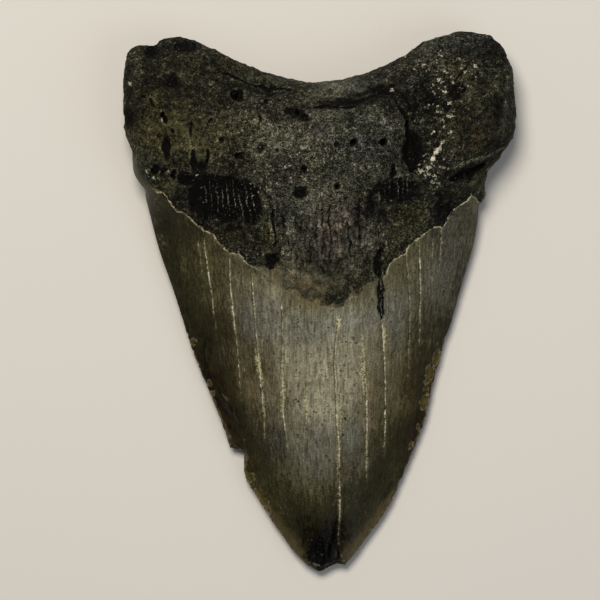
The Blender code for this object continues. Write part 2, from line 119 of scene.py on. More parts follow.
# Pits in the root and neck: place, half width and length, turn in degrees, depth, and how dark their painted
# shade is.
PITS = (
    (-21.3, 51.8, 1.4, 1.3, 10, 1.5, 1), (-20, 51.3, 1.2, 1.7, -25, 1.5, 1),
    (-13.5, 50, 0.7, 0.7, 0, 0.9, 1), (-7.6, 47.9, 1.2, 1, 0, 0.7, 0.5),
    (-3.6, 46.1, 1.2, 1.1, 0, 0.9, 0.6), (8.4, 39.9, 0.9, 1, 0, 0.9, 1),
    (15.9, 39.9, 1.15, 1.15, 0, 1.2, 1), (4.2, 39.5, 0.7, 0.8, 0, 0.3, 0.6),
    (4.4, 28.9, 0.9, 1, 0, 0.9, 0.9), (-3.9, 33.2, 0.9, 1.2, 25, 0.8, 0.8),
    (-5.2, 27, 1.7, 1.2, 10, 0.5, 0.5), (18.3, 33.6, 0.5, 1.4, 0, 0.5, 0.9),
    (18.4, 32, 0.8, 1, 0, 0.6, 0.9), (-38.8, 46.2, 0.75, 1.6, 22, 1, 1),
    (-38.3, 38.6, 0.95, 3.4, 4, 0.9, 1), (-36.8, 42.7, 0.5, 0.6, 0, 0.5, 0.8),
    (-32.1, 43.2, 0.34, 2.6, -2, 0.4, 0.9), (-31.5, 35.6, 0.85, 2.9, 8, 0.9, 0.9),
    (-28.1, 35.9, 0.6, 2.3, -4, 0.8, 0.9), (-27.3, 45.4, 0.35, 1.1, -20, 0.5, 0.9),
    (-24.5, 40.8, 0.9, 1.1, 0, 0.5, 0.5), (-20.1, 36.6, 1.1, 1, 0, 0.8, 0.8),
    (-14.8, 46.1, 0.45, 1.2, 10, 0.4, 0.7), (-36.9, 54.8, 1.7, 1.3, -15, 0.5, 0.6),
    (-34.4, 64, 2.1, 1, 0, 0.6, 0.8), (-41.8, 62.4, 1, 1.3, 10, 0.6, 0.6),
    (-47.2, 46.1, 1.1, 1.9, 0, 0.5, 0.5), (-41.9, 49.8, 0.5, 1.6, 30, 0.4, 0.5),
    (34.9, 53.2, 1.9, 1.5, 35, 0.8, 0.8), (31.8, 49, 1.5, 1.3, 20, 0.7, 0.8),
    (-11.9, 10.4, 1.4, 1.6, 0, 0.9, 0.8), (-22.9, 44, 0.35, 0.7, 15, 0.3, 0.7),
    (-10.6, 38, 0.6, 0.5, 0, 0.3, 0.5), (11.5, 33.6, 0.5, 0.5, 0, 0.3, 0.5),
    (-40.9, 33.1, 1.1, 1.4, 0, 1.1, 1.3), (-39.2, 32.8, 0.6, 1.1, 0, 0.8, 1.2),
    (-36.4, 31.9, 0.8, 1.5, 0, 1, 1.2), (-36.5, 35.1, 0.35, 0.8, 0, 0.3, 0.5),
    (-44.2, 51.2, 0.7, 0.5, 0, 0.4, 0.6), (40.9, 52, 0.6, 0.5, 0, 0.3, 0.5),
    (42.6, 45.8, 0.5, 0.6, 0, 0.3, 0.5), (27, 47.6, 0.8, 0.6, 30, 0.4, 0.6),
)

# Grooves, furrows and hollows: depth, how dark their painted shade is, and a line of places with half
# widths.
GROOVES = (
    (0.6, 0.7, ((-26.1, 58.3, 0.1), (-22.6, 56.9, 0.15), (-20.9, 55.9, 0.45), (-18.4, 55, 0.2),
                (-16.6, 54.1, 0.2), (-14.4, 53.5, 0.6), (-12.4, 53.1, 0.5), (-9.6, 53.4, 0.2),
                (-6.6, 52.9, 0.1))),
    (0.6, 0.8, ((-0.9, 48.6, 0.2), (2.1, 48.9, 0.35), (5.1, 48.3, 0.3), (7.9, 48.6, 0.4),
                (10.9, 50.4, 0.45), (15.6, 51.9, 0.45), (17.9, 52.4, 0.2))),
    (0.4, 0.15, ((9.6, 51.8, 0.6), (12.6, 52.9, 1), (17.1, 53.2, 1.1), (19, 53.8, 0.4))),
    (1.7, 0.9, ((21.6, 45, 0.4), (22.2, 41, 0.9), (22.8, 36.5, 1.5), (22.8, 33.4, 1))),
    (1.1, 1, ((32.6, 30.6, 0.7), (34, 31.3, 1.2), (36.2, 32.5, 1.1), (39, 33.7, 0.9), (41.2, 34.7, 0.4))),
    (0.9, 1, ((15.2, 12.6, 0.5), (14.4, 10.8, 1.1), (14.4, 8, 1.2), (15.2, 5.4, 0.7), (15.1, 3.6, 1.1),
              (15.2, 0, 1.1), (15.4, -2.4, 0.9), (15.5, -4.2, 0.3))),
    (0.5, 0.9, ((-11.9, 22.8, 0.3), (-11.3, 19, 0.4), (-10.9, 14.2, 0.3))),
    (0.4, 0.7, ((2.6, 24, 0.2), (2.4, 19, 0.25), (2.8, 14.6, 0.2), (2.5, 11, 0.2))),
    (0.4, 0.7, ((6.6, 20, 0.2), (7.4, 17.1, 0.25), (7.7, 11, 0.25))),
    (0.4, 0.4, ((9.8, 26, 0.2), (9.6, 21, 0.3), (10.2, 16, 0.2))),
    (0.3, 0.3, ((-2.4, 18, 0.2), (-2.2, 13, 0.25), (-2.4, 9, 0.2))),
    (0.3, 0.35, ((38.4, 60.6, 0.2), (35.6, 57.4, 0.35), (33.4, 55, 0.3))),
    (0.4, 0.3, ((17.9, 51.1, 0.4), (19.6, 48.8, 0.7), (20.9, 46.9, 0.8), (22.3, 44.1, 0.8))),
)

# Lips and ridges that stand up: height, how pale, which on the right lobe's ledge is a painted highlight
# along its lip, and a line of places with half widths.
RIDGES = (
    (0.5, 0.5, ((32.2, 33.2, 0.3), (34.6, 33.9, 0.5), (36.2, 34.9, 0.5), (39.1, 35.3, 0.5),
                (42.4, 36.6, 0.5), (46, 38.4, 0.4))),
    (0.3, 0.7, ((17.5, 30.6, 0.2), (20.1, 31.3, 0.25), (23, 32.2, 0.2), (24.1, 31.4, 0.2))),
    (0.3, 0.1, ((-9.6, 25, 0.5), (-9.9, 18, 0.6), (-9.2, 12, 0.4))),
    (0.3, 0.1, ((4.6, 24, 0.5), (4.9, 18, 0.6), (5.2, 11, 0.4))),
    (0.2, 0.1, ((0.2, 24, 0.4), (0, 18, 0.5), (0.3, 10, 0.4))),
    (0.5, 0.8, ((16, 7.4, 0.3), (15.2, 5.6, 0.45), (15.4, 3, 0.2))),
    (0.4, 0.5, ((15.2, 1.6, 0.2), (15.3, -1, 0.25), (15.5, -3.4, 0.3))),
    (0.1, 0.7, ((-2.4, -64.8, 0.2), (-0.9, -66, 0.45), (0.2, -66.3, 0.2))),
    (0.1, 0.6, ((5.6, -63.4, 0.2), (6.2, -65.2, 0.3))),
)

# Two places where black crust lies in the neck, crossed by fine pale ribs: where each rib lies across the
# tooth, its top and its bottom.
LEFT_RIBS = (
    (-28.6, 30, 24), (-27.2, 30.6, 22.6), (-25.8, 30.6, 22), (-24.6, 30.8, 21.4), (-23.4, 30.6, 21),
    (-21.8, 30.2, 20.2), (-20.4, 30, 19.6), (-18.8, 29.6, 19.4), (-17.4, 29, 19.8),
)
RIGHT_RIBS = (
    (14.9, 29, 24.6), (16.4, 30, 25), (17.7, 30.4, 25.6), (19.6, 30.8, 25.6), (20.9, 31, 26.2),
    (22.1, 31.4, 26.6),
)
# Half widths of a rib in its middle and at its ends, and how far it stands up
RIB_WIDTH = 0.24
RIB_END_WIDTH = 0.1
RIB_HEIGHT = 0.45
# The left ribs' bend and paleness: those of the first rib, and what each millimetre to the right adds
LEFT_RIB_BEND = (0.3, 0.19)
LEFT_RIB_PALENESS = (0.35, 0.06)
# What share of its bend a left rib has in its middle, and how far a right rib's middle lies to the left
LEFT_RIB_BELLY = 0.35
RIGHT_RIB_BOW = 0.2
RIGHT_RIB_PALENESS = 0.9

# Flakes broken from the cutting edges: depth, and a line of places with half widths.
CHIPS = (
    (0.5, ((-31.8, -9.6, 1), (-31.6, -10.2, 0.9))),
    (0.35, ((-27.8, -20.1, 0.7), (-27.2, -22.4, 0.8))),
    (0.8, ((-26.8, -22, 0.8), (-23.6, -28.4, 1.9), (-20.6, -34.8, 1.5), (-19.6, -36.4, 0.9))),
    (0.6, ((-18.9, -38.2, 0.9), (-17.9, -41.6, 1.5), (-16.2, -45, 1.1))),
    (0.7, ((-15.6, -47.4, 1.3), (-14.2, -49.6, 1.4))),
    (0.5, ((-13.2, -51.4, 0.9), (-12.2, -53, 0.9))),
    (0.5, ((29.7, -12.8, 0.9), (29.3, -15.2, 0.9))),
    (0.6, ((28.1, -16.2, 1), (27.4, -19.8, 1.2))),
    (0.5, ((27, -21.8, 1), (26.9, -22.8, 0.9))),
    (0.7, ((26.9, -23.6, 1.2), (26, -26.6, 1.3))),
    (0.4, ((24.6, -31, 0.9), (24.2, -32.2, 0.8))),
    (0.4, ((23.6, -34.4, 0.9), (23, -36.4, 0.8))),
    (0.9, ((4.8, -53.6, 0.3), (4.6, -57.4, 1), (3.6, -61.4, 1.5), (3.4, -65.6, 2))),
    (0.7, ((0.2, -59, 0.4), (0, -62.4, 1.3), (0.4, -66, 1.4))),
)

# Small pores in the enamel: place, half width and length, turn, and how dark.
PORES = (
    (5.1, -15.9, 0.4, 0.4, 0, 0.44), (-5.4, -24.9, 0.4, 0.35, 0, 0.39),
    (6.4, -28.9, 0.35, 0.5, 30, 0.44), (6.6, -24.9, 0.35, 0.4, 0, 0.39),
    (0.6, -30.6, 0.6, 0.35, 10, 0.44), (2.6, -26.6, 0.35, 0.3, 0, 0.33),
    (5.8, -33.1, 0.35, 0.4, 0, 0.44), (8.4, -9.1, 0.4, 0.3, 0, 0.44), (9.1, -10.1, 0.35, 0.35, 0, 0.39),
    (-22.6, 5.6, 0.35, 0.4, 0, 0.44), (9.6, -49.1, 0.4, 0.5, 0, 0.33), (-2.6, -16, 0.3, 0.3, 0, 0.33),
    (-3.4, -31.8, 0.5, 0.3, 20, 0.33), (11.4, -20.6, 0.3, 0.4, 0, 0.33),
    (1.1, -46.8, 0.25, 3.2, 0, 0.33), (-3.7, -53.2, 0.25, 2.2, 0, 0.33),
    (-12.4, -16.8, 0.3, 0.3, 0, 0.28), (2.2, -6.2, 0.3, 0.35, 0, 0.28),
)

# Points of the outline that are drawn to the notch's two corners: from, to, and how far round it reaches.
NOTCH = (
    ((-21.8, -36), (-22, -36.5), 1.2), ((-19.8, -37.4), (-18.7, -37.2), 1.3),
    ((-18.5, -39), (-18.6, -39.4), 1),
)

# Where the fossil's ground colour turns lighter or darker, partly its own colour and partly painted light
# and shade: place, spreads, turn, and how much.
ENAMEL_TONE_AND_SHADE = (
    # The broad painted light and shade: a pale domed middle as a soft painted highlight, flanks in painted
    # shade over their own olive brown, and a dark tip
    (-34, 10, 8, 12, 15, 0.05), (-24, 9, 10, 7, 0, 0.03), (-37, 8, 9, 22, 20, -0.28),
    (-22, 8, 8, 8, 0, -0.08), (31, 8, 7, 12, -10, 0.08), (-34, 6, 6, 12, 15, 0.04),
    (-22, 2, 10, 5, 0, 0.06), (31, -6, 6, 22, -14, -0.16), (-24.5, -8, 3.5, 10, 15, -0.08),
    (0, -8, 13, 4, 0, -0.02), (4, -12, 17, 24, 0, 0.16), (22.4, -15, 3.2, 9, -10, -0.07),
    (-1, -20, 11, 16, 0, 0.2), (-26, -22, 4.4, 18, 24, -0.28), (25, -30, 5, 18, -18, -0.2),
    (-17, -36, 4.6, 9, 20, -0.13), (15, -38, 4, 8, -10, -0.13), (-1, -43, 12, 6, 0, -0.03),
    (14, -46, 5, 8, -20, -0.12), (1, -50, 12, 4.6, 0, -0.08), (-1, -55, 14, 10, 0, -0.18),
    (2, -57, 8, 4, 0, -0.12),
    # Below the enamel's edge
    (-36, 22, 5, 5, 0, -0.12), (-28.6, 17.5, 4, 2.6, -30, -0.13), (28.6, 15, 2.6, 4, 0, -0.09),
    (-32.6, 8.6, 2, 3, 0, 0.07), (-22.4, 7, 2.4, 3, 0, 0.05), (30.6, 4, 2.6, 5, 0, 0.13),
    (-16, 3, 5, 5, 0, 0.1), (-11, 2.4, 2.6, 2.6, 0, 0.15), (8, 1, 4, 4, 0, 0.05),
    (20, 1, 6, 7, 0, 0.04), (-15, -3.4, 2.4, 3, 0, 0.08), (8.4, -3.4, 5, 4, 0, 0.04),
    (5.6, -4, 2.4, 2.4, 0, 0.06), (-8.6, -4.4, 5, 6, 0, 0.07),
    # The middle of the crown
    (-2.6, -10, 3, 4, 0, -0.12), (-7.6, -12, 5, 7, 0, 0.05), (17.6, -12, 3, 6, 0, 0.04),
    (-8.4, -14, 2.4, 3, 0, 0.06), (6.8, -14, 4, 6, 0, 0.05), (-15.8, -17, 2.6, 2.6, 0, -0.09),
    (-5.4, -21, 1.8, 3, 0, 0.1), (-1.4, -21, 1.8, 2.4, 0, -0.07), (9.1, -21.5, 2, 3, 0, 0.09),
    (-11.9, -25, 2, 2.4, 0, 0.06), (-8.8, -25.4, 3.4, 5, 0, -0.11), (-21, -27, 3, 6, 20, -0.08),
    (-1, -27, 7, 5, 0, 0.05), (14.5, -27, 3.5, 7, 0, -0.08), (2.4, -28, 2.4, 4, 0, 0.11),
    # Down to the tip
    (-14, -31, 3.5, 6, 0, -0.07), (21.4, -32, 3, 6, -15, -0.08), (-11.9, -34, 2.2, 4, 0, -0.09),
    (-8.6, -40, 4, 7, 0, -0.08), (-12.6, -41, 2.6, 4, 0, -0.05), (-3, -43, 5, 7, 0, 0.06),
    (0, -48.6, 4.4, 4, 0, 0.12), (6, -56, 1.6, 6, 0, -0.09), (-8.4, -56.4, 2.4, 2.4, 0, -0.08),
    (0, -61, 6, 6, 0, -0.12), (1.6, -63.4, 4, 4, 0, -0.3),
)
ROOT_TONE_AND_SHADE = (
    # The broad painted light and shade: a paler top rim and middle, darker furrows and sides
    (36, 56.5, 9, 4, 0, 0.07), (0, 55.2, 17, 1.5, 0, 0.13), (4, 54.4, 9, 2, 0, 0.09),
    (-20, 54, 8, 2, -25, -0.04), (11, 51.2, 8, 2, 8, -0.1), (0, 49, 9, 2, 0, -0.05),
    (44, 44, 3.5, 9, 0, -0.09), (-35, 42, 14, 7, 0, 0.04), (-10, 41.6, 11, 6, 0, 0.08),
    (-30, 41, 12, 5, 0, 0.1), (0, 38, 15, 10, 0, 0.14), (0, 26, 9, 5, 0, 0.09), (5, 17, 6, 8, 0, 0.17),
    # The left lobe
    (-28, 60.6, 4, 1.5, -27, 0.05), (-22, 59, 3, 1.6, -27, -0.07), (-31, 58, 4, 2.4, -20, 0.06),
    (-43.5, 57.5, 2.4, 4, 0, 0.07), (-38, 55, 7, 5, 0, -0.07), (-29.4, 49, 2.4, 2.4, 0, 0.07),
    (-41, 47, 3, 4, 0, 0.04), (-24, 46.6, 7, 3, 0, 0.09), (-28, 42, 6, 3, 0, 0.1),
    (-38.6, 40.6, 3, 4, 0, -0.04), (-35, 40.5, 3, 3, 0, -0.08), (-43, 40, 2.4, 3, 0, 0.06),
    (-43.6, 39, 2.6, 5, 0, 0.09), (-33, 37, 6, 4, 0, 0.04), (-28, 33.4, 6, 2.4, 0, -0.08),
    (-36.4, 28.6, 3, 2.4, -30, 0.18),
    # The right lobe
    (42, 63, 5, 3, 30, -0.09), (31, 62.6, 3, 1.6, 0, 0.08), (23, 61.6, 7, 1.6, 32, 0.12),
    (43.5, 60, 3, 4, 0, -0.08), (39.6, 58, 3, 3, 0, 0.12), (45, 54, 3, 3, 0, 0.03),
    (24.5, 50, 5, 7, -20, -0.09), (32, 49, 3, 2.4, 0, -0.08), (41, 49, 3, 3, 0, -0.09),
    (24, 45.4, 2.6, 3, 0, 0.1), (33.6, 41, 2.6, 4, 0, 0.09), (26.6, 35.6, 2.6, 2.6, 0, -0.06),
    (38, 29, 3.6, 2.6, 0, 0.06), (29, 25.6, 4, 3, 0, 0.06),
    # The top rim and the middle plateau: painted light on the rim and painted shade in the furrow below it
    (2, 52.6, 4, 1.8, 0, 0.22), (-4.9, 50.5, 3, 2.4, 0, 0.08), (5, 49.6, 5, 1.6, 0, -0.05),
    (14, 47, 4, 2.4, 0, 0.07), (2, 46, 3.6, 2.4, 0, 0.1), (-19.4, 45.6, 2.4, 2.4, 0, 0.07),
    (-14.6, 45.6, 2.4, 2.4, 0, -0.05), (14.4, 45.4, 4, 2.4, 0, 0.09), (14, 45, 4, 3, 0, 0.05),
    (6.4, 44, 5, 3.5, 0, -0.06), (2, 43.6, 5, 3, 0, 0.06), (-5.6, 38.6, 2.6, 2, 0, -0.1),
    (16, 38.6, 2.4, 2.4, 0, -0.14), (-16, 38, 3, 4, 0, 0.1), (3, 37, 3, 3, 0, -0.05),
    (7.6, 34, 4, 3, 0, 0.07), (12.6, 34, 3.6, 3, 0, 0.07),
    # The neck, down to the point of the V
    (-12, 30, 3, 7, 0, 0.07), (-1, 29.5, 3, 3, 0, 0.07), (12, 29, 4, 4, 0, 0.06),
    (-15, 25.6, 3.5, 5, 0, -0.07), (-8, 24, 6, 3, 0, 0.06), (-1, 24, 5, 3, 0, 0.04),
    (3.6, 23, 4, 6, 0, 0.07), (0, 22, 7, 6, 0, 0.04), (-6, 19, 5, 6, 0, 0.1), (13.6, 19, 3, 4, 0, 0.12),
    (21.6, 19, 4, 4.6, 0, 0.14), (18, 18, 4, 6, 0, 0.1), (-18.6, 17, 5, 5, 0, 0.11),
    (-24, 15.6, 4, 2.4, -40, 0.05), (15, 14, 2.4, 6, 0, 0.12), (-8.6, 11, 3, 5, 0, 0.09),
    (-8.4, 10, 2.4, 2.4, 0, 0.08), (-5, 9.6, 5, 2.4, 0, 0.09), (3.6, 9.6, 4, 3, 0, 0.09),
    (8.6, 5.6, 3, 3, 0, 0.22), (-5.8, 5.4, 4.4, 3.4, 0, 0.32), (-1, 3.6, 2.6, 2, 0, 0.1),
    (0, 3.6, 4.6, 3, 0, 0.12), (2, 2.4, 6, 3, 0, 0.1),
)

# Stains that tint the ground colour, and in the blue-grey table also painted cool light on the root's rims:
# place, spreads, turn, and how much.
OLIVE = (
    (-35, 41, 16, 9, 0, 1), (22.6, 22.6, 4.2, 3.8, 0, 1), (-33, 8, 9, 14, 20, 0.9),
    (-13.2, 17.2, 1.8, 6.4, 0, 0.8), (-37.5, 28.5, 5, 2.5, -30, 0.9), (40, 30, 4, 3, 0, 0.7),
    (-20, 58, 14, 3, -20, 0.6), (19, 8, 7, 9, 0, 0.5), (-1, 4, 17, 4.6, 0, 0.4),
    (-43, 44, 5, 8, 0, 0.5), (-2, -50, 14, 10, 0, 0.6), (24, -24, 6, 14, -15, 0.6),
    (16, -46, 4, 9, -20, 0.5), (-18, -44, 3, 8, 30, 0.7), (-25.5, 8, 1.2, 9, 4, 0.5),
    (-13.8, 4, 1.6, 3, 0, 0.5), (-38, 55, 12, 10, 0, 0.5), (38, 50, 11, 16, 0, 0.5),
    (15.8, -36, 3.2, 13, -5, 0.9), (-18, -38, 3.4, 9, 20, 0.8), (24, 18, 5, 6, 30, 0.5),
    (-20, 17, 7, 4, -30, 0.6),
)
RUST = (
    (-41.4, 53.8, 2.4, 2.8, 0, 0.8), (-42.4, 41.6, 3, 2.6, 0, 0.8), (38.6, 41.6, 3.8, 5.6, 0, 1),
    (-5.4, 5.4, 5, 3.6, -30, 0.75), (1, 2.6, 5, 2.6, 0, 0.6), (-25.6, -24, 2.6, 11, 22, 1),
    (23.6, -33, 2.6, 7, -16, 0.8), (-0.2, -56.4, 1.8, 1.6, 0, 0.8), (-19, -20, 6, 7, 10, 0.4),
    (-3.4, 46, 2, 1.6, 0, 0.7), (-24.5, 40.8, 1.6, 1.6, 0, 0.5), (-20, 36.8, 1.8, 1.8, 0, 0.6),
    (-21.5, 17.5, 4.5, 3.5, -20, 0.6), (12, -28, 2.6, 10, 0, 0.3), (32, 60, 4, 3, 0, 0.5),
    (-22, 48, 6, 2, 0, 0.4), (-16.6, -42, 1.6, 5, 20, 0.8), (-11.4, -53, 1.6, 3, 35, 0.6),
    (35.6, 10, 1, 6, -10, 0.3), (23, -24, 3, 8, -12, 0.35),
)
ROSE = (
    (4, 18, 7, 9, 0, 1), (-11, 34, 7, 4, 0, 0.4), (0, 43, 6, 3, 0, 0.4), (-11, 26, 3, 6, 0, 0.5),
)
# The spots along the root's top and right rims are painted cool light falling on them; the others are
# blue-grey colour
BLUE_GREY = (
    (-16, -3, 7, 6, 0, 0.9), (-3, -6.5, 9, 5, 0, 1), (9, -5, 7, 5, 0, 0.9),
    (-10.8, -33.8, 2.6, 4.4, 0, 0.8), (-0.5, -37, 8, 8, 0, 0.9), (9, -33, 3, 5, 0, 0.8),
    (36, 65, 12, 3, 0, 1), (-34, 65, 8, 2, 0, 0.6), (12, 40.6, 7.6, 6.6, 0, 0.7),
    (2, 56, 16, 1.8, 0, 0.8), (32, 10, 7, 14, -6, 1), (-45, 30, 3, 7, 0, 0.9),
    (47.5, 52, 2, 10, 0, 0.8), (18.8, -1, 4.4, 6, 0, 0.9), (-9, 26, 6, 5, 0, 0.3),
    (9, -56, 3, 6, 0, 0.5),
)

# Black crust, and chalk-white grains: place, half widths, turn, and how thick. Some black spots are painted
# shade: in the furrow under the top rim and in the hollow beside the plateau.
CRUST_AND_SHADE = (
    (-27.6, 26.4, 5.6, 6, 10, 1.8), (-22.6, 25.4, 4.6, 6.4, 0, 2), (-17.8, 24.6, 3.6, 6.6, 8, 1.6),
    (-20.4, 18.4, 6.4, 3.6, -25, 0.25), (-33, 30.6, 3, 1.9, -25, 0.9), (19.6, 27.8, 7, 3.6, 0, 0.75),
    (12.7, 24.9, 1.7, 4.6, 0, 0.5), (30.6, 24.2, 3.6, 4.6, 0, 0.45), (15, 22, 2, 5, 0, 0.2),
    (15.4, 13, 1.2, 1.8, 0, 0.5), (-31.4, 26.6, 2.6, 3.8, 40, 0.35), (27.6, 50.6, 2.6, 2.4, 0, 0.3),
    (23.2, 37.4, 3, 6.8, 0, 0.95), (-11.8, 10.4, 2.4, 2.5, 0, 0.8), (1, -63, 5, 5, 0, 1.2),
    (3.6, -58.6, 1.5, 5.6, 0, 0.6), (1.6, -57.4, 0.7, 4, 0, 0.3), (-34, 63.6, 4.4, 1.9, 0, 0.6),
    (36.4, 31.8, 5, 1.8, 24, 0.5), (17, 52.4, 7, 1.8, -10, 0.25), (-5, 27.2, 2.6, 2.2, 0, 0.5),
    (34.2, 53, 3, 2.6, 30, 0.7), (-47.6, 46.2, 1.8, 3, 0, 0.6), (-36.8, 55, 2.8, 2.2, 0, 0.55),
    (-41.8, 62.6, 2, 2, 0, 0.5), (-5.6, 47, 4, 1.6, -20, 0.3), (6, 49.6, 8, 1.6, 5, 0.4),
    (9.6, 22, 2, 6, 0, 0.35), (-9.4, 21, 1.4, 4, 0, 0.35), (40, 56, 3, 4, 0, 0.3),
    (-14.8, 38.6, 2, 1.6, 0, 0.3), (44.6, 49, 1.6, 3.4, 0, 0.35), (-29.6, 34, 2.6, 2.4, 0, 0.4),
)
CHALK = (
    (26.1, 59.1, 0.6, 0.5, 0, 0.8), (23.4, 58.4, 0.5, 0.4, 0, 0.7), (31.1, 57.9, 0.8, 0.5, 20, 0.8),
    (29.9, 55.6, 0.8, 0.5, 30, 0.8), (31.3, 52.6, 0.7, 0.6, 0, 0.8), (32.4, 49.6, 0.6, 0.6, 0, 0.8),
    (32.6, 46.6, 1.2, 0.6, -15, 0.8), (31, 45.4, 0.6, 0.5, 0, 0.7), (32.7, 42.6, 0.6, 0.9, 10, 0.9),
    (30.3, 39.8, 0.5, 1.3, -32, 0.9), (29.2, 37.9, 0.8, 1.5, -32, 1.3), (28.3, 36, 0.6, 1.1, -24, 1.2),
    (26.9, 33.8, 0.9, 0.7, -10, 0.9), (25.2, 32.7, 1, 0.6, 25, 0.9), (26.3, 31.6, 0.6, 0.4, 0, 0.7),
    (29, 31.4, 0.9, 0.6, 0, 0.8), (28.2, 30.2, 0.5, 0.5, 0, 0.7), (38.9, 58.9, 0.6, 0.5, 0, 0.7),
    (36.4, 57.6, 0.5, 0.4, 0, 0.6), (21.1, 61.4, 0.5, 0.5, 0, 0.7), (30.1, 61.6, 0.6, 0.6, 0, 0.7),
    (18, 52.9, 0.5, 0.6, 0, 0.8), (-47.2, 54.6, 0.6, 0.6, 0, 0.8), (-39.3, 45.6, 0.35, 0.5, 0, 1),
    (-43.1, 32.6, 0.4, 0.9, 30, 0.8), (-41.4, 30.9, 0.7, 0.6, 0, 0.6), (-37.9, 32.5, 0.5, 0.5, 0, 0.6),
    (-30.4, 31.6, 0.5, 0.4, 0, 0.7), (33.4, 36.6, 0.5, 0.4, 0, 0.6), (4.9, -4.4, 0.5, 1.5, 0, 0.9),
    (4.7, -6.6, 0.35, 0.8, 0, 0.7), (34.6, 60.6, 0.5, 0.4, 0, 0.6), (28.6, 42.6, 0.4, 0.4, 0, 0.6),
)
CHALK_DUST = (
    (30, 55, 8, 7, -8, 0.45), (29.6, 43, 3.4, 8, 10, 0.6), (27.5, 33, 3.6, 3.4, 0, 0.9),
    (38, 57, 4, 4, 0, 0.4), (-8, 36, 9, 7, 0, 0.35), (2, 44, 9, 4, 0, 0.25), (-16, 26, 6, 5, 0, 0.35),
    (-2, 32, 10, 5, 0, 0.3), (-38, 60, 6, 4, 0, 0.25), (14, 14, 5, 6, 0, 0.35), (20, 26, 5, 4, 0, 0.3),
    (-40, 31, 3, 2, 0, 0.4), (-0.5, -62, 3.4, 3.5, 0, 0.3), (2.6, -57, 1.4, 4, 0, 0.3),
)
# Where the bone's grain is softer, and how much.
SMOOTHER = (
    (-36, 43, 11, 7, 0, 0.5), (-37, 57, 10, 6, 0, 0.35), (43, 43, 7, 9, 0, 0.4),
    (-3, 4, 11, 4.6, 0, 0.7), (3, 14, 8, 7, 0, 0.5), (-36, 29, 5, 3, 0, 0.4), (0, 54, 20, 2.4, 0, 0.3),
    (24, 19, 6, 4, 0, 0.3), (36, 29, 6, 3, 0, 0.4),
)
# Where the neck's surface is drawn out into fibres along the tooth.
FIBRES = (
    (2, 16, 11, 9, 0, 1), (-12, 18, 5, 7, 0, 0.8), (-22, 24, 8, 7, 0, 0.7), (18, 22, 7, 7, 0, 0.7),
)

# Where yellow mud has soaked in beside the growth cracks: place, spreads, turn, and how much.
CRACK_STAINS = (
    (-15.2, -15.8, 0.55, 5.5, 9, 1), (-9.3, -21.9, 0.5, 8, 0, 0.9), (-3.3, -25.6, 0.6, 5, 0, 0.8),
    (5.2, -26.9, 0.5, 6, 0, 0.6), (4.6, -37, 0.45, 8, 0, 0.6), (10.8, -15.6, 0.6, 9, 3, 0.9),
    (11.7, -34.4, 0.35, 9, 0, 0.6), (16, -9, 0.45, 3.4, 0, 0.9), (4.8, -5, 0.8, 2.2, 0, 0.9),
    (-21.6, -2.4, 0.4, 5, 5, 0.7), (-13.9, -27, 0.4, 4, 5, 0.6), (4.9, -52, 0.45, 6, 0, 0.5),
)

# Small flakes lost from the cutting edges, down to amber dentine with a pale rim: place, half widths,
# turn, and how deep.
FLAKES = (
    (-31.7, -9.7, 0.9, 1, 0, 0.6), (-27.8, -20.2, 0.8, 1, 24, 0.7), (-26.9, -22.6, 0.8, 0.9, 24, 0.6),
    (-17.4, -44, 1.5, 1.3, 28, 0.8), (-18.9, -39.6, 0.8, 2, 6, 0.5), (-15.2, -47.8, 1.2, 1.5, 30, 1),
    (-14.1, -49.9, 1.2, 1.5, 30, 1), (-12.9, -52, 0.8, 1, 30, 0.6), (29.3, -14, 0.9, 2.2, -14, 1),
    (27.4, -18, 1.1, 2.8, -16, 0.9), (26.9, -22, 0.9, 1.1, 10, 0.8), (26.3, -25, 1.2, 2.1, -16, 1),
    (24.6, -31.4, 0.6, 1.1, -12, 0.5), (23, -36, 0.7, 1.2, -20, 0.5),
)
# The pale worn bevels beside the tip, and the inner edge of the long flake scar, with half widths.
BEVELS = (
    ((-13.4, -51.0, 1.0), (-10.4, -56.2, 1.9), (-6.8, -61.4, 1.9), (-3.6, -65.2, 1.2)),
    ((18.6, -47.6, 0.6), (14.0, -54.8, 1.5), (9.6, -60.8, 1.9), (6.8, -65.0, 1.4)),
)
SCAR_EDGE = (
    (-25.4, -22.2, 0.2), (-23.6, -23.6, 0.25), (-21.8, -26.6, 0.25), (-20.2, -30.4, 0.2),
)


# Arithmetic for places on the tooth

# Farther away than any place on the tooth
FAR = 99.0


def smoothstep(low, high, value):
    """0 below low, 1 above high, smooth between; the other way round if low is above high."""
    t = np.clip((value - low) / (high - low), 0, 1)
    return t * t * (3 - 2 * t)


def blot(x, y, spot):
    """How far each point is from a spot's middle: 0 there, 1 at its edge."""
    centre_x, centre_y, half_width, half_length, turn = spot[:5]
    angle = math.radians(turn)
    dx, dy = x - centre_x, y - centre_y
    across = (dx * math.cos(angle) + dy * math.sin(angle)) / half_width
    along = (dy * math.cos(angle) - dx * math.sin(angle)) / half_length
    return np.hypot(across, along)


def from_stretch(x, y, ax, ay, bx, by):
    """Distance to the straight stretch from a to b, and how far along it the nearest place lies, 0 to 1."""
    sx, sy = bx - ax, by - ay
    share = np.clip(((x - ax) * sx + (y - ay) * sy) / (sx * sx + sy * sy), 0, 1)
    return np.hypot(x - ax - share * sx, y - ay - share * sy), share


def nearness(x, y, line):
    """Distance to a line of (x, y, half width) places: 0 on it, 1 at its half width."""
    nearest = np.full(len(x), FAR)
    for (ax, ay, aw), (bx, by, bw) in zip(line, line[1:]):
        away, share = from_stretch(x, y, ax, ay, bx, by)
        nearest = np.minimum(nearest, away / (aw + share * (bw - aw)))
    return nearest


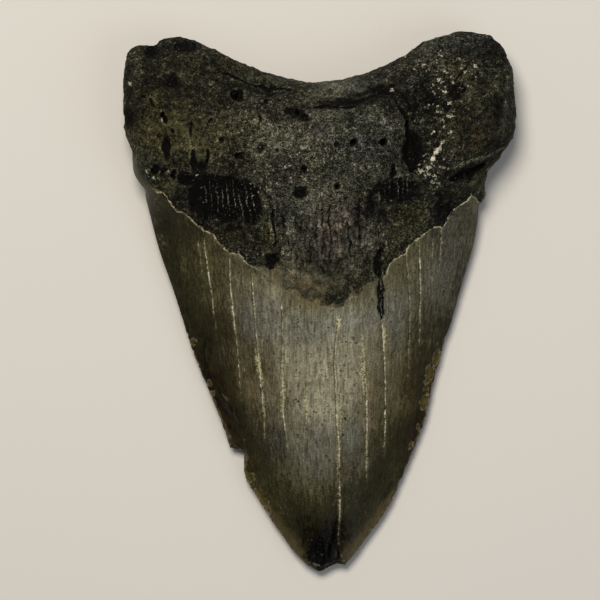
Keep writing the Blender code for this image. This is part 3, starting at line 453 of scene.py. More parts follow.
def past_line(x, y, line):
    """Signed distance to a line that runs from left to right: above zero on the root's side."""
    xs, ys = np.array(line).T
    away = np.full(len(x), FAR)
    for ax, ay, bx, by in zip(xs, ys, xs[1:], ys[1:]):
        away = np.minimum(away, from_stretch(x, y, ax, ay, bx, by)[0])
    return np.where(y > np.interp(x, xs, ys), away, -away)


def broad(x, y, spots):
    """The sum of bell-shaped spots."""
    total = np.zeros(len(x))
    for spot in spots:
        total += spot[-1] * np.exp(-(blot(x, y, spot) ** 2))
    return total


def thickness(away, strength):
    """Above zero inside a spot or line, up to its strength in the middle, and below zero outside it."""
    inward = 1 - away
    return np.where(inward > 0, inward * strength, inward)


def field(x, y, spots):
    """The greatest thickness among these spots, and -1 far from all of them."""
    total = np.full(len(x), -1.0)
    for spot in spots:
        total = np.maximum(total, thickness(blot(x, y, spot), spot[-1]))
    return total


def line_field(x, y, lines):
    """The same for lines of places with half widths, each given as its strength and its places."""
    total = np.full(len(x), -1.0)
    for strength, line in lines:
        total = np.maximum(total, thickness(nearness(x, y, line), strength))
    return total


def wander(points, spacing, reach, seed):
    """Random sideways shifts that make drawn edges ragged."""
    shift = Vector((seed, 0, 0))
    return reach * np.array([noise.noise_vector(Vector(p) / spacing + shift) for p in points])


# Perspective. The places in the tables were measured from straight above, where what is higher looks
# further out.

# The height of the cutting edges, which are seen where they are
SEEN_LEVEL = 9


def nearer(points):
    """How much nearer the camera each point is than the cutting edges, as a share of its distance."""
    return np.maximum(points[:, 2] - SEEN_LEVEL, 0)[:, None] / (CAMERA_AWAY / MM)


def as_seen(points):
    """Where the camera sees each point, across and along."""
    middle = np.array(MIDDLE) / MM
    return middle + (points[:, :2] - middle) / (1 - nearer(points))


def draw_in(points):
    """Move the high places in towards the middle, so that they are seen where they were measured."""
    middle = np.array(MIDDLE) / MM
    points[:, :2] = middle + (points[:, :2] - middle) * (1 - nearer(points))


# The shape of the fossil

# Below this place along the tooth the outline is a cutting edge, which stays sharp when it is subdivided
CUTTING_EDGE_TOP = 27
CUTTING_EDGE_CREASE = 0.8
# The outline has a corner where it turns by more than this
CORNER_TURN = math.radians(24)
# Faces whose normals rise by more than this are refined
UPPER_FACING = 0.05
# Between these two rises of the normal the lower face ends and the upper one starts
FACING = (-0.05, 0.25)
# About how many triangles the finished tooth has
TRIANGLES = 196000

# Spacing, reach and seed of the shifts that make drawn edges ragged, and of those that blur broad stains
RAGGED = (2.6, 0.5, 5.0)
FRAYED = (0.9, 0.28, 7.0)
DRIFTING = (7.0, 2.5, 9.0)

# Heights and depths of the relief
CRUST_DEPTH = 0.45
PORE_DEPTH = 0.1
CHALK_HEIGHT = 0.3
CRACK_DEPTH = 0.1
CRACK_HALF_WIDTH = 0.3
LIP_HEIGHT = 0.35
# The sides of each form, in half widths from its middle: where they start and where they end. The crust's
# are in shares of its thickness.
CRUST_SIDES = (-0.1, 0.35)
PIT_SIDES = (1.15, 0.45)
GROOVE_SIDES = (1.2, 0.3)
RIDGE_SIDES = (1.4, 0.2)
RIB_SIDES = (1.5, 0.3)
CHALK_SIDES = (1.2, 0.4)
CHIP_SIDES = (1.1, 0.5)
CRACK_SIDES = (1.0, 0.2)
# Where the lip of the enamel falls to the neck, and where it starts to rise on the crown, in distances
# from the enamel's edge that are below zero on the crown
LIP_FALL = (0.1, -0.25)
LIP_SLOPE = (-3.5, -0.4)
# What is left of the lip where stains blur it
LEAST_LIP = 0.1
# Growth cracks are cut where the crown is at least this far from the enamel's edge
CRACKS_START = -0.3
# The enamel's edge turns crisp, blurred and crisp again between these places across the tooth
CRISP_FROM = (-43, -39)
CRISP_TO = (-13, -19)
CRISP_AGAIN = (15, 18)
# The bone starts between these two distances from the enamel's edge
BONE_STARTS = (-0.1, 0.3)
# The nibbled rim of the crown: how wide it is, and where it fades out along the tooth
RIM_WIDTH = (1.6, 0.2)
RIM_FADES = (6, -10)
# In how many steps a vertex group's weights are set
WEIGHT_STEPS = 20
# Random relief: where, the kind of pattern, the size of its features, how high, and its settings
ROUGHENING = (
    ("bone", "CLOUDS", 5.0, 0.9, {"noise_depth": 1}),
    ("bone", "CLOUDS", 1.4, 0.6, {"noise_depth": 2}),
    ("bone", "VORONOI", 1.3, 0.25, {}),
    ("enamel", "CLOUDS", 5.0, 0.12, {"noise_depth": 1}),
    ("rim", "CLOUDS", 1.1, 0.5, {"noise_depth": 1}),
)


def points_of(mesh):
    """The mesh's points in millimetres."""
    flat = np.empty(len(mesh.vertices) * 3)
    mesh.vertices.foreach_get("co", flat)
    return flat.reshape(-1, 3) / MM


def normals_of(mesh):
    flat = np.empty(len(mesh.vertices) * 3)
    mesh.vertices.foreach_get("normal", flat)
    return flat.reshape(-1, 3)


def move_points(mesh, points):
    mesh.vertices.foreach_set("co", (points * MM).ravel())
    mesh.update()


def apply_modifier(piece, kind, **settings):
    """Add one modifier, set it and apply it."""
    modifier = piece.modifiers.new(kind.lower(), kind)
    for name, value in settings.items():
        setattr(modifier, name, value)
    bpy.ops.object.modifier_apply(modifier=modifier.name)


def copy_of_cad_tooth():
    """A copy of the CAD tooth whose loose triangles are merged and paired into quads."""
    bpy.ops.object.select_all(action="DESELECT")
    cad = frame["nodes"]["tooth"]
    cad.select_set(True)
    bpy.context.view_layer.objects.active = cad
    bpy.ops.object.duplicate()
    tooth = bpy.context.active_object
    bpy.ops.object.parent_clear(type="CLEAR_KEEP_TRANSFORM")
    tooth.name = "fossil_tooth"
    tooth.data.name = "fossil_tooth"
    for name in list(tooth.keys()):
        del tooth[name]
    bpy.ops.mesh.customdata_custom_splitnormals_clear()
    sharp = tooth.data.attributes.get("sharp_edge")
    if sharp:
        tooth.data.attributes.remove(sharp)
    bpy.ops.object.mode_set(mode="EDIT")
    bpy.ops.mesh.select_all(action="SELECT")
    bpy.ops.mesh.remove_doubles(threshold=0.01 * MM)
    bpy.ops.mesh.tris_convert_to_quads(face_threshold=math.radians(60), shape_threshold=math.radians(120))
    bpy.ops.object.mode_set(mode="OBJECT")
    bpy.ops.object.shade_smooth()
    return tooth


def draw_out_notch(mesh):
    """Pull the notch in the left cutting edge to its two sharp corners."""
    points = points_of(mesh)
    for start, end, reach in NOTCH:
        near = np.exp(-(np.hypot(*(points[:, :2] - start).T) / reach) ** 2)
        points[:, :2] += near[:, None] * np.subtract(end, start)
    move_points(mesh, points)


def sharp_corners(mesh, outline):
    """The points where the outline turns sharply: the notch and the corners of the broken tip."""
    neighbours = {}
    for edge in outline:
        one, other = edge.vertices
        neighbours.setdefault(one, []).append(other)
        neighbours.setdefault(other, []).append(one)
    corners = []
    for k, around in neighbours.items():
        if len(around) == 2:
            before, here, after = (mesh.vertices[n].co for n in (around[0], k, around[1]))
            if (here - before).angle(after - here) > CORNER_TURN:
                corners.append(k)
    return corners


def crease_cutting_edges(tooth):
    """Keep the crown's cutting edges sharp when the tooth is subdivided."""
    mesh = tooth.data
    sides = {}
    for face in mesh.polygons:
        for key in face.edge_keys:
            sides.setdefault(key, []).append(face.normal.z)
    bpy.ops.object.mode_set(mode="EDIT")
    bpy.ops.mesh.select_mode(type="EDGE")
    bpy.ops.mesh.select_all(action="DESELECT")
    bpy.ops.object.mode_set(mode="OBJECT")
    outline = []
    for edge in mesh.edges:
        facing = sides[edge.key]
        middle = (mesh.vertices[edge.vertices[0]].co + mesh.vertices[edge.vertices[1]].co) / 2
        if min(facing) < 0 < max(facing) and middle.y < CUTTING_EDGE_TOP * MM:
            edge.select = True
            outline.append(edge)
    corners = sharp_corners(mesh, outline)
    bpy.ops.object.mode_set(mode="EDIT")
    bpy.ops.transform.edge_crease(value=CUTTING_EDGE_CREASE)
    bpy.ops.mesh.select_mode(type="VERT")
    bpy.ops.mesh.select_all(action="DESELECT")
    bpy.ops.object.mode_set(mode="OBJECT")
    for k in corners:
        mesh.vertices[k].select = True
    bpy.ops.object.mode_set(mode="EDIT")
    bpy.ops.transform.vert_crease(value=1)
    bpy.ops.mesh.select_mode(type="FACE")
    bpy.ops.object.mode_set(mode="OBJECT")


def refine_upper_face(tooth):
    """Halve the quads of the rounded face, which carries the finest relief."""
    mesh = tooth.data
    bpy.ops.object.mode_set(mode="EDIT")
    bpy.ops.mesh.select_all(action="DESELECT")
    bpy.ops.object.mode_set(mode="OBJECT")
    for face in mesh.polygons:
        face.select = face.normal.z > UPPER_FACING
    bpy.ops.object.mode_set(mode="EDIT")
    bpy.ops.mesh.subdivide(number_cuts=1)
    bpy.ops.object.mode_set(mode="OBJECT")


def fit_to_box(mesh, box):
    """Stretch the tooth back to the CAD box, which subdivision shrank it from."""
    points = points_of(mesh)
    low, high = points.min(0), points.max(0)
    wanted_low, wanted_high = (np.array(corner) / MM for corner in box)
    move_points(mesh, wanted_low + (points - low) * (wanted_high - wanted_low) / (high - low))


def facing_up(normals):
    """1 on the rounded face, 0 on the flatter one, and between at the edges."""
    return smoothstep(*FACING, normals[:, 2])


def enamel_edge(x, y, up):
    """Signed distance to the enamel's edge, on whichever face the point lies."""
    above = past_line(x, y, ENAMEL_LINE)
    below = past_line(x, y, ENAMEL_LINE_BELOW)
    return below + (above - below) * up


def rib(x, top, bottom, belly, bend):
    """One rib's places with half widths; belly and bend say how far its middle and bottom are shifted."""
    middle = (x + belly, (top + bottom) / 2, RIB_WIDTH)
    return (x, top, RIB_END_WIDTH), middle, (x + bend, bottom, RIB_END_WIDTH)


def ribs():
    """The fine ribs of the two black patches: how pale each is, and its places with half widths."""
    lines = []
    for x, top, bottom in LEFT_RIBS:
        along = x - LEFT_RIBS[0][0]
        bend, paleness = (first + more * along for first, more in (LEFT_RIB_BEND, LEFT_RIB_PALENESS))
        lines.append((paleness, rib(x, top, bottom, LEFT_RIB_BELLY * bend, bend)))
    for x, top, bottom in RIGHT_RIBS:
        lines.append((RIGHT_RIB_PALENESS, rib(x, top, bottom, -RIGHT_RIB_BOW, 0)))
    return lines


def carved_relief(x, y, edge):
    """Height added by everything that was drawn on the rounded face, in millimetres."""
    height = np.zeros(len(x))
    height -= CRUST_DEPTH * smoothstep(*CRUST_SIDES, field(x, y, CRUST_AND_SHADE)) * (edge > 0)
    for *spot, depth, _ in PITS:
        height -= depth * smoothstep(*PIT_SIDES, blot(x, y, spot))
    for spot in PORES:
        height -= PORE_DEPTH * smoothstep(*PIT_SIDES, blot(x, y, spot))
    for depth, _, line in GROOVES:
        height -= depth * smoothstep(*GROOVE_SIDES, nearness(x, y, line))
    for rise, _, line in RIDGES:
        height += rise * smoothstep(*RIDGE_SIDES, nearness(x, y, line))
    for _, line in ribs():
        height += RIB_HEIGHT * smoothstep(*RIB_SIDES, nearness(x, y, line))
    for spot in CHALK:
        height += CHALK_HEIGHT * smoothstep(*CHALK_SIDES, blot(x, y, spot))
    for depth, line in CHIPS:
        height -= depth * smoothstep(*CHIP_SIDES, nearness(x, y, line))
    return height


def edge_shows(x):
    """The enamel's edge is crisp at both sides and blurred by stains in the middle."""
    left = smoothstep(*CRISP_TO, x) * smoothstep(*CRISP_FROM, x)
    return np.maximum(left, smoothstep(*CRISP_AGAIN, x))


def enamel_relief(x, y, edge):
    """The enamel's edge stands proud of the neck, and its growth cracks are shallow grooves."""
    lip = LIP_HEIGHT * smoothstep(*LIP_FALL, edge) * smoothstep(*LIP_SLOPE, edge)
    lip *= LEAST_LIP + (1 - LEAST_LIP) * edge_shows(x)
    grooves = np.zeros(len(x))
    for line in CRACKS:
        path = tuple((px, py, CRACK_HALF_WIDTH) for px, py, _ in line)
        grooves = np.maximum(grooves, smoothstep(*CRACK_SIDES, nearness(x, y, path)))
    return lip - CRACK_DEPTH * grooves * (edge < CRACKS_START)


def roughen(tooth, group, kind, size, height, **settings):
    """Push the surface in and out by a random texture, where the vertex group says."""
    texture = bpy.data.textures.new(f"{group} {kind.lower()} {size}", kind)
    texture.noise_scale = size * MM
    for name, value in settings.items():
        setattr(texture, name, value)
    apply_modifier(tooth, "DISPLACE", texture=texture, strength=height * MM, mid_level=0.5,
                   texture_coords="LOCAL", vertex_group=group)


def weight(tooth, name, values):
    """A vertex group with these weights, set in steps."""
    group = tooth.vertex_groups.new(name=name)
    steps = np.round(np.clip(values, 0, 1) * WEIGHT_STEPS).astype(int)
    for step in range(1, WEIGHT_STEPS + 1):
        group.add(np.flatnonzero(steps == step).tolist(), step / WEIGHT_STEPS, "REPLACE")


def model_fossil_tooth():
    """The CAD tooth, made smooth and then carved with everything that the tables place on it."""
    tooth = copy_of_cad_tooth()
    draw_out_notch(tooth.data)
    crease_cutting_edges(tooth)
    apply_modifier(tooth, "SUBSURF", levels=2, render_levels=2)
    fit_to_box(tooth.data, cad_box)
    refine_upper_face(tooth)

    mesh = tooth.data
    points, up = points_of(mesh), facing_up(normals_of(mesh))
    x, y, _ = (points + wander(points, *RAGGED) + wander(points, *FRAYED)).T
    edge = enamel_edge(x, y, up)
    draw_in(points)
    points[:, 2] += up * (carved_relief(x, y, edge) + enamel_relief(x, y, edge))
    move_points(mesh, points)

    bone = smoothstep(*BONE_STARTS, edge)
    rim = (1 - bone) * smoothstep(*RIM_WIDTH, edge_distance(points)) * smoothstep(*RIM_FADES, y)
    for group, values in (("bone", bone), ("enamel", 1 - bone), ("rim", rim)):
        weight(tooth, group, values)
    for group, kind, size, height, settings in ROUGHENING:
        roughen(tooth, group, kind, size, height, **settings)
    tooth.vertex_groups.clear()
    fit_to_box(mesh, cad_box)

    triangles = sum(len(face.vertices) - 2 for face in mesh.polygons)
    apply_modifier(tooth, "DECIMATE", ratio=TRIANGLES / triangles, use_collapse_triangulate=True)
    fit_to_box(mesh, cad_box)
    return tooth


# What the material reads: one number for each point

# Cracks swerve less than their tables say: their places are averaged over these steps along the tooth
CRACK_SOFTENING = (-2.4, -1.2, 0, 1.2, 2.4)
# How far past its top and its bottom a crack fades out, from its table's last places
CRACK_FADES = (0.6, 1.0)
# The gap beside the outermost cracks, and the least one between two
OUTER_GAP = 8.0
LEAST_GAP = 0.3
# Where the tooth's outline is looked up, along it
OUTLINE_ROWS = np.arange(-68, 69, 0.5)
# How often points are averaged with their neighbours to find the surface around each
SMOOTHINGS = 5
# How much of its stains, and of its painted light and shade, the flatter face has
UNDERSIDE_SHARE = 0.4
# The worn rim fades out between these places along the tooth, where this much is added to its distance
# from the outline
RIM_SHIFT = 2
RIM_ENDS = (-14, -4)


def store(mesh, name, values):
    layer = mesh.attributes.new(name, "FLOAT", "POINT")
    layer.data.foreach_set("value", values.astype(np.float32))


def crack_layers(x, y):
    """Which crack is nearest, as a number that is whole on a crack; the gap to the next; how clear."""
    places, shows = [], []
    for line in CRACKS:
        xs, ys, clear = (np.array(line)[::-1]).T
        places.append(np.mean([np.interp(y + shift, ys, xs) for shift in CRACK_SOFTENING], axis=0))
        past_top, past_bottom = CRACK_FADES
        inside = smoothstep(ys[0] - past_bottom, ys[0], y) * smoothstep(ys[-1] + past_top, ys[-1], y)
        shows.append(np.interp(y, ys, clear) * inside)
    places = [places[0] - OUTER_GAP] + places + [places[-1] + OUTER_GAP]
    shows = [np.zeros(len(x))] + shows + [np.zeros(len(x))]
    phase, gap, show = np.zeros(len(x)), np.full(len(x), OUTER_GAP), np.zeros(len(x))
    for here, following in zip(places, places[1:]):
        width = np.maximum(following - here, LEAST_GAP)
        share = np.clip((x - here) / width, 0, 1)
        phase += share
        inside = (share > 0) & (share < 1)
        gap = np.where(inside, width, gap)
    for k, clear in enumerate(shows):
        show += clear * np.clip(1 - np.abs(phase - k), 0, 1)
    return phase, gap, show


def edge_distance(points):
    """Distance in from the tooth's left or right outline, in millimetres."""
    x, y = points[:, 0], points[:, 1]
    row = np.clip(np.searchsorted(OUTLINE_ROWS, y), 0, len(OUTLINE_ROWS) - 1)
    left, right = np.full(len(OUTLINE_ROWS), FAR), np.full(len(OUTLINE_ROWS), -FAR)
    np.minimum.at(left, row, x)
    np.maximum.at(right, row, x)
    filled = left < FAR
    left, right = (np.interp(OUTLINE_ROWS, OUTLINE_ROWS[filled], side[filled]) for side in (left, right))
    return np.minimum(x - np.interp(y, OUTLINE_ROWS, left), np.interp(y, OUTLINE_ROWS, right) - x)


def recess(mesh, points, normals):
    """How far each point lies below the surface around it, in millimetres; below zero on bumps."""
    ends = np.empty(len(mesh.edges) * 2, int)
    mesh.edges.foreach_get("vertices", ends)
    one, other = ends.reshape(-1, 2).T
    count = np.bincount(one, minlength=len(points)) + np.bincount(other, minlength=len(points))
    smooth = points
    for _ in range(SMOOTHINGS):
        columns = []
        for k in range(3):
            near = np.bincount(one, smooth[other, k], len(points))
            near += np.bincount(other, smooth[one, k], len(points))
            columns.append(near / count)
        smooth = np.column_stack(columns)
    return ((smooth - points) * normals).sum(1)


def paint_layers(tooth):
    """Give the tooth's points the numbers that its colours are mixed from, and say what they are called."""
    mesh = tooth.data
    points, normals = points_of(mesh), normals_of(mesh)
    up = facing_up(normals)
    x, y = as_seen(points).T
    small = wander(points, *RAGGED) + wander(points, *FRAYED)
    sx, sy = x + small[:, 0], y + small[:, 1]
    large = wander(points, *DRIFTING)
    lx, ly = sx + large[:, 0], sy + large[:, 1]
    above = up > 0.5
    both = UNDERSIDE_SHARE + (1 - UNDERSIDE_SHARE) * up

    edge = enamel_edge(sx, sy, up)
    phase, gap, show = crack_layers(x, y)
    # The pits and grooves are darkened as painted shade, and the pores with them
    dark_lines = [(darkness, line) for _, darkness, line in GROOVES]
    pits = np.maximum(field(sx, sy, PITS + PORES), line_field(sx, sy, dark_lines))
    # Besides the fossil's own lighter and darker parts, these carry painted light and shade: a lit crown
    # middle, shaded flanks and furrows, a paler top rim
    enamel_tone_and_shade, root_tone_and_shade = broad(lx, ly, ENAMEL_TONE_AND_SHADE), broad(lx, ly, ROOT_TONE_AND_SHADE)
    layers = {
        "enamel_edge": edge,
        "edge_shows": edge_shows(x) * up,
        "crack_phase": phase,
        "crack_gap": gap,
        "crack_show": show * up,
        "crack_stain": broad(x, y, CRACK_STAINS) * up,
        "pits": np.where(above, pits, -1),
        "crust_and_shade": np.where(above, field(sx, sy, CRUST_AND_SHADE), -1),
        "chalk": np.where(above, field(sx, sy, CHALK), -1),
        "ribs": line_field(sx, sy, ribs()),
        "ridges": line_field(sx, sy, [(paleness, line) for _, paleness, line in RIDGES]),
        "dust": broad(lx, ly, CHALK_DUST) * up,
        "fibres": broad(x, y, FIBRES) * up,
        "smoother": broad(lx, ly, SMOOTHER) * up,
        "tone_and_shade": np.where(edge > 0, root_tone_and_shade, enamel_tone_and_shade) * both,
        "olive": np.clip(broad(lx, ly, OLIVE), 0, 1) * both,
        "rust": np.clip(broad(lx, ly, RUST), 0, 1) * both,
        "rose": np.clip(broad(lx, ly, ROSE), 0, 1) * up,
        "blue_grey": np.clip(broad(lx, ly, BLUE_GREY), 0, 1) * both,
        "flakes": field(sx, sy, FLAKES),
        "bevels": line_field(sx, sy, [(1.0, line) for line in BEVELS]),
        "scar": line_field(x, y, [(1.0, SCAR_EDGE)]),
        "rim": edge_distance(points) + RIM_SHIFT * smoothstep(*RIM_ENDS, y),
        # How deep each point sits, which the root's colour turns into painted shade in recesses and painted
        # light on bumps
        "recess": recess(mesh, points, normals),
    }
    for name, values in layers.items():
        store(mesh, name, values)
    return tuple(layers)


# The material

# How pale the two grounds are before anything darkens or lightens them
ROOT_BASE = 0.24
ENAMEL_BASE = 0.375
ENAMEL_ROUGHNESS = 0.42
ROOT_ROUGHNESS = 0.85
FOSSIL_IOR = 1.6
SPECULAR_LEVEL = 0.07
BUMP_HEIGHT = 0.13 * MM

# What nodes are added for: the kind of each and its fixed settings. A mask rises smoothly from 0 at its
# first value to 1 at its second, or falls if the first is the higher.
MASK = {"kind": "ShaderNodeMapRange", "interpolation_type": "SMOOTHSTEP"}
RAMP = {"kind": "ShaderNodeValToRGB"}
TIMES = {"kind": "ShaderNodeMath", "operation": "MULTIPLY"}
TIMES_PLUS = {"kind": "ShaderNodeMath", "operation": "MULTIPLY_ADD"}
PLUS = {"kind": "ShaderNodeMath", "operation": "ADD"}
MINUS = {"kind": "ShaderNodeMath", "operation": "SUBTRACT"}
UNSIGNED = {"kind": "ShaderNodeMath", "operation": "ABSOLUTE"}
TO_WHOLE = {"kind": "ShaderNodeMath", "operation": "ROUND"}
GREATER = {"kind": "ShaderNodeMath", "operation": "MAXIMUM"}
COAT = {"kind": "ShaderNodeMix", "data_type": "RGBA", "output": 2}
# The sockets of a coat
FACTOR, UNDER, OVER = 0, 6, 7

# How far patterns are drawn out across, along and through the tooth
EVEN = (1.0, 1.0, 1.0)
DRAWN_OUT = (1.0, 0.14, 1.0)
FAR_DRAWN_OUT = (1.0, 0.04, 0.5)
# Random patterns: their stretch, the size of their features in millimetres, detail and roughness. Bone's
# real grain is too fine to show, so the finest of them are drawn a few times as coarse.
PATTERNS = {
    "grain": (EVEN, 0.36, 1, 0.6),
    "beads": (EVEN, 0.8, 1, 0.6),
    "clots": (EVEN, 1.5, 3, 0.6),
    "blots": (EVEN, 4, 3, 0.6),
    "clouds": (EVEN, 12, 2, 0.6),
    "hues": (EVEN, 5, 4, 0.7),
    "bends": (EVEN, 3, 1, 0.6),
    "fibre": (DRAWN_OUT, 0.7, 2, 0.6),
    "streaks": (DRAWN_OUT, 0.5, 2, 0.6),
    "bands": (FAR_DRAWN_OUT, 1.4, 2, 0.6),
    "hairs": (FAR_DRAWN_OUT, 0.6, 1, 0.6),
}
# Mineral grains, each with random numbers of its own: their size in millimetres, and the numbers' names
GRAINS = ((0.5, ("crystal", "mineral")), (0.36, ("sand",)))


def hex_colour(text):
    """An sRGB hex colour as the linear values that Blender uses."""
    values = [int(text[k : k + 2], 16) / 255 for k in (1, 3, 5)]
    linear = [v / 12.92 if v <= 0.04045 else ((v + 0.055) / 1.055) ** 2.4 for v in values]
    return (*linear, 1.0)


def add(tree, *values, kind, inputs=None, output=0, stops=None, **settings):
    """Add one node, set it, set or link its inputs, and give back one of its outputs."""
    made = tree.nodes.new(kind)
    for name, value in settings.items():
        setattr(made, name, value)
    if stops:
        ramp = made.color_ramp
        while len(ramp.elements) < len(stops):
            ramp.elements.new(0.5)
        for element, (place, colour) in zip(ramp.elements, stops):
            element.position = place
            element.color = hex_colour(colour)
    for key, value in {**dict(enumerate(values)), **(inputs or {})}.items():
        if isinstance(value, bpy.types.NodeSocket):
            tree.links.new(value, made.inputs[key])
        else:
            made.inputs[key].default_value = value
    return made.outputs[output]


def overlap(tree, *masks):
    """Where all of these masks lie, each a socket or a number."""
    shared = masks[0]
    for mask in masks[1:]:
        shared = add(tree, shared, mask, **TIMES)
    return shared


def mixture(tree, base, *parts):
    """A base with patterns added to it, each by its share."""
    mixed = base
    for pattern, share in parts:
        mixed = add(tree, pattern, share, mixed, **TIMES_PLUS)
    return mixed


def coats(tree, ground, *over, blend="MIX"):
    """Lay (mask, colour) coats over a ground, each as thick as its mask says."""
    for mask, colour in over:
        colour = hex_colour(colour) if isinstance(colour, str) else colour
        ground = add(tree, inputs={FACTOR: mask, UNDER: ground, OVER: colour}, blend_type=blend, **COAT)
    return ground


def patterns(tree):
    """The random patterns that the colours share, from about -1 to 1, and the grains' numbers, 0 to 1."""
    place = add(tree, kind="ShaderNodeTexCoord", output="Object")
    stretched = {EVEN: place}
    for stretch in (DRAWN_OUT, FAR_DRAWN_OUT):
        stretched[stretch] = add(tree, place, kind="ShaderNodeMapping", inputs={"Scale": stretch})
    made = {}
    for name, (stretch, size, detail, rough) in PATTERNS.items():
        pattern = add(tree, kind="ShaderNodeTexNoise", inputs={
            "Vector": stretched[stretch], "Scale": 1 / (size * MM), "Detail": detail, "Roughness": rough})
        made[name] = add(tree, pattern, 4.0, -2.0, **TIMES_PLUS)
    for size, names in GRAINS:
        cells = add(tree, kind="ShaderNodeTexVoronoi", output="Color",
                    inputs={"Vector": place, "Scale": 1 / (size * MM)})
        for channel, name in enumerate(names):
            made[name] = add(tree, cells, kind="ShaderNodeSeparateColor", output=channel)
    return made


def root_colour(tree, on, p):
    """Root and neck: bone turned to dark phosphate, grain by grain, with olive and rusty mud stains, painted
    light and shade over it, and painted shade in its recesses.
    """
    fibrous = overlap(tree, p["fibre"], on["fibres"])
    rougher = add(tree, 1.0, on["smoother"], **MINUS)
    fine = overlap(tree, mixture(tree, -0.12, (p["grain"], 0.30), (p["sand"], 0.24)), rougher)
    # Painted light and shade come in from the ground-colour layer, and the recess term is painted shade in
    # recesses and painted light on bumps
    grit = mixture(tree, ROOT_BASE, (on["tone_and_shade"], 1.0), (fine, 1.0), (p["clots"], 0.05), (p["blots"], 0.15),
                   (p["clouds"], 0.11), (fibrous, 0.26), (on["recess"], -1.0))
    root = add(tree, grit, **RAMP, stops=(
        (0.0, "#040403"), (0.25, "#1a1b14"), (0.5, "#3f4135"), (0.75, "#6b6d5d"), (1.0, "#a8a692")))
    speckled = add(tree, p["clots"], -0.5, 0.4, **MASK)
    root = coats(
        tree, root,
        (overlap(tree, add(tree, p["hues"], 0.0, 0.8, **MASK), 0.55), "#5a573a"),
        (overlap(tree, add(tree, p["hues"], -0.1, -0.8, **MASK), 0.6), "#4d4c48"),
        (overlap(tree, add(tree, p["mineral"], 0.75, 0.8, **MASK), 0.45), "#5e4c3c"),
        (overlap(tree, on["olive"], 0.85), "#5a5735"),
        (overlap(tree, on["rust"], speckled, 0.8), "#5f4d30"),
        (overlap(tree, on["rose"], 0.6), "#5a4e48"),
        # blue-grey, on the root's rims a painted tint of cool light
        (overlap(tree, on["blue_grey"], 0.6), "#535a56"),
        blend="COLOR")
    glint = overlap(tree, add(tree, p["crystal"], 0.90, 0.95, **MASK), add(tree, grit, 0.2, 0.6, **MASK),
                    add(tree, 0.6, on["smoother"], **MINUS))
    split = overlap(tree, add(tree, p["fibre"], 0.45, 0.95, **MASK), on["fibres"],
                    add(tree, p["clots"], -0.6, 0.4, **MASK), 0.8)
    return coats(tree, root, (glint, "#8f8a76"), (split, "#100f0c"))


def enamel_colour(tree, on, p):
    """Enamel: drawn-out streaks along the tooth over cloudy greys and browns and the painted light and
    shade, paler where it is worn.
    """
    uneven = mixture(tree, 0.0, (p["grain"], 0.09), (p["streaks"], 0.13), (p["bands"], 0.07),
                     (p["clots"], 0.05), (p["blots"], 0.04))
    # The streaks show more strongly where the painted light makes the crown paler
    streak_contrast = add(tree, on["tone_and_shade"], 0.8, 0.95, **TIMES_PLUS)
    tone_and_shade = mixture(tree, ENAMEL_BASE, (on["tone_and_shade"], 1.0), (overlap(tree, uneven, streak_contrast), 1.0))
    enamel = add(tree, tone_and_shade, **RAMP, stops=(
        (0.0, "#0b0903"), (0.25, "#2c2916"), (0.5, "#5a5643"), (0.75, "#847f69"), (1.0, "#b0aa93")))
    enamel = coats(
        tree, enamel,
        (overlap(tree, add(tree, p["hues"], 0.1, 0.9, **MASK), 0.5), "#786d56"),
        (overlap(tree, add(tree, p["hues"], -0.1, -0.9, **MASK), 0.5), "#65665a"),
        (overlap(tree, on["olive"], 0.8), "#565432"),
        (overlap(tree, on["rust"], 0.8), "#563f14"),
        (overlap(tree, on["blue_grey"], 0.9), "#626256"),
        blend="COLOR")
    uneven_bevel = mixture(tree, on["bevels"], (p["grain"], 0.15), (p["clots"], 0.2))
    scar = overlap(tree, add(tree, on["scar"], -0.3, 0.6, **MASK), add(tree, p["beads"], -1.6, -0.2, **MASK))
    specks = overlap(tree, add(tree, p["crystal"], 0.18, 0.10, **MASK),
                     add(tree, p["clots"], -0.3, 0.6, **MASK), 0.8)
    return coats(
        tree, enamel,
        (overlap(tree, add(tree, p["hairs"], 0.35, 0.9, **MASK), 0.45), "#2a2819"),
        (overlap(tree, add(tree, uneven_bevel, -0.6, 0.9, **MASK), 0.6), "#5a4e36"),
        (overlap(tree, scar, 0.5), "#5f5848"),
        (specks, "#25231a"))


def beside_cracks(tree, on, p):
    """How far a point lies to the right of the nearest growth crack, in millimetres, and how clear it is."""
    aside = add(tree, on["crack_phase"], add(tree, on["crack_phase"], **TO_WHOLE), **MINUS)
    aside = overlap(tree, aside, on["crack_gap"])
    aside = mixture(tree, aside, (p["bends"], 0.12), (p["beads"], 0.04), (p["grain"], 0.05))
    shown = mixture(tree, on["crack_show"], (p["clots"], 0.35), (p["blots"], 0.25), (p["beads"], 0.25))
    return aside, add(tree, shown, 0.05, 1.20, **MASK)


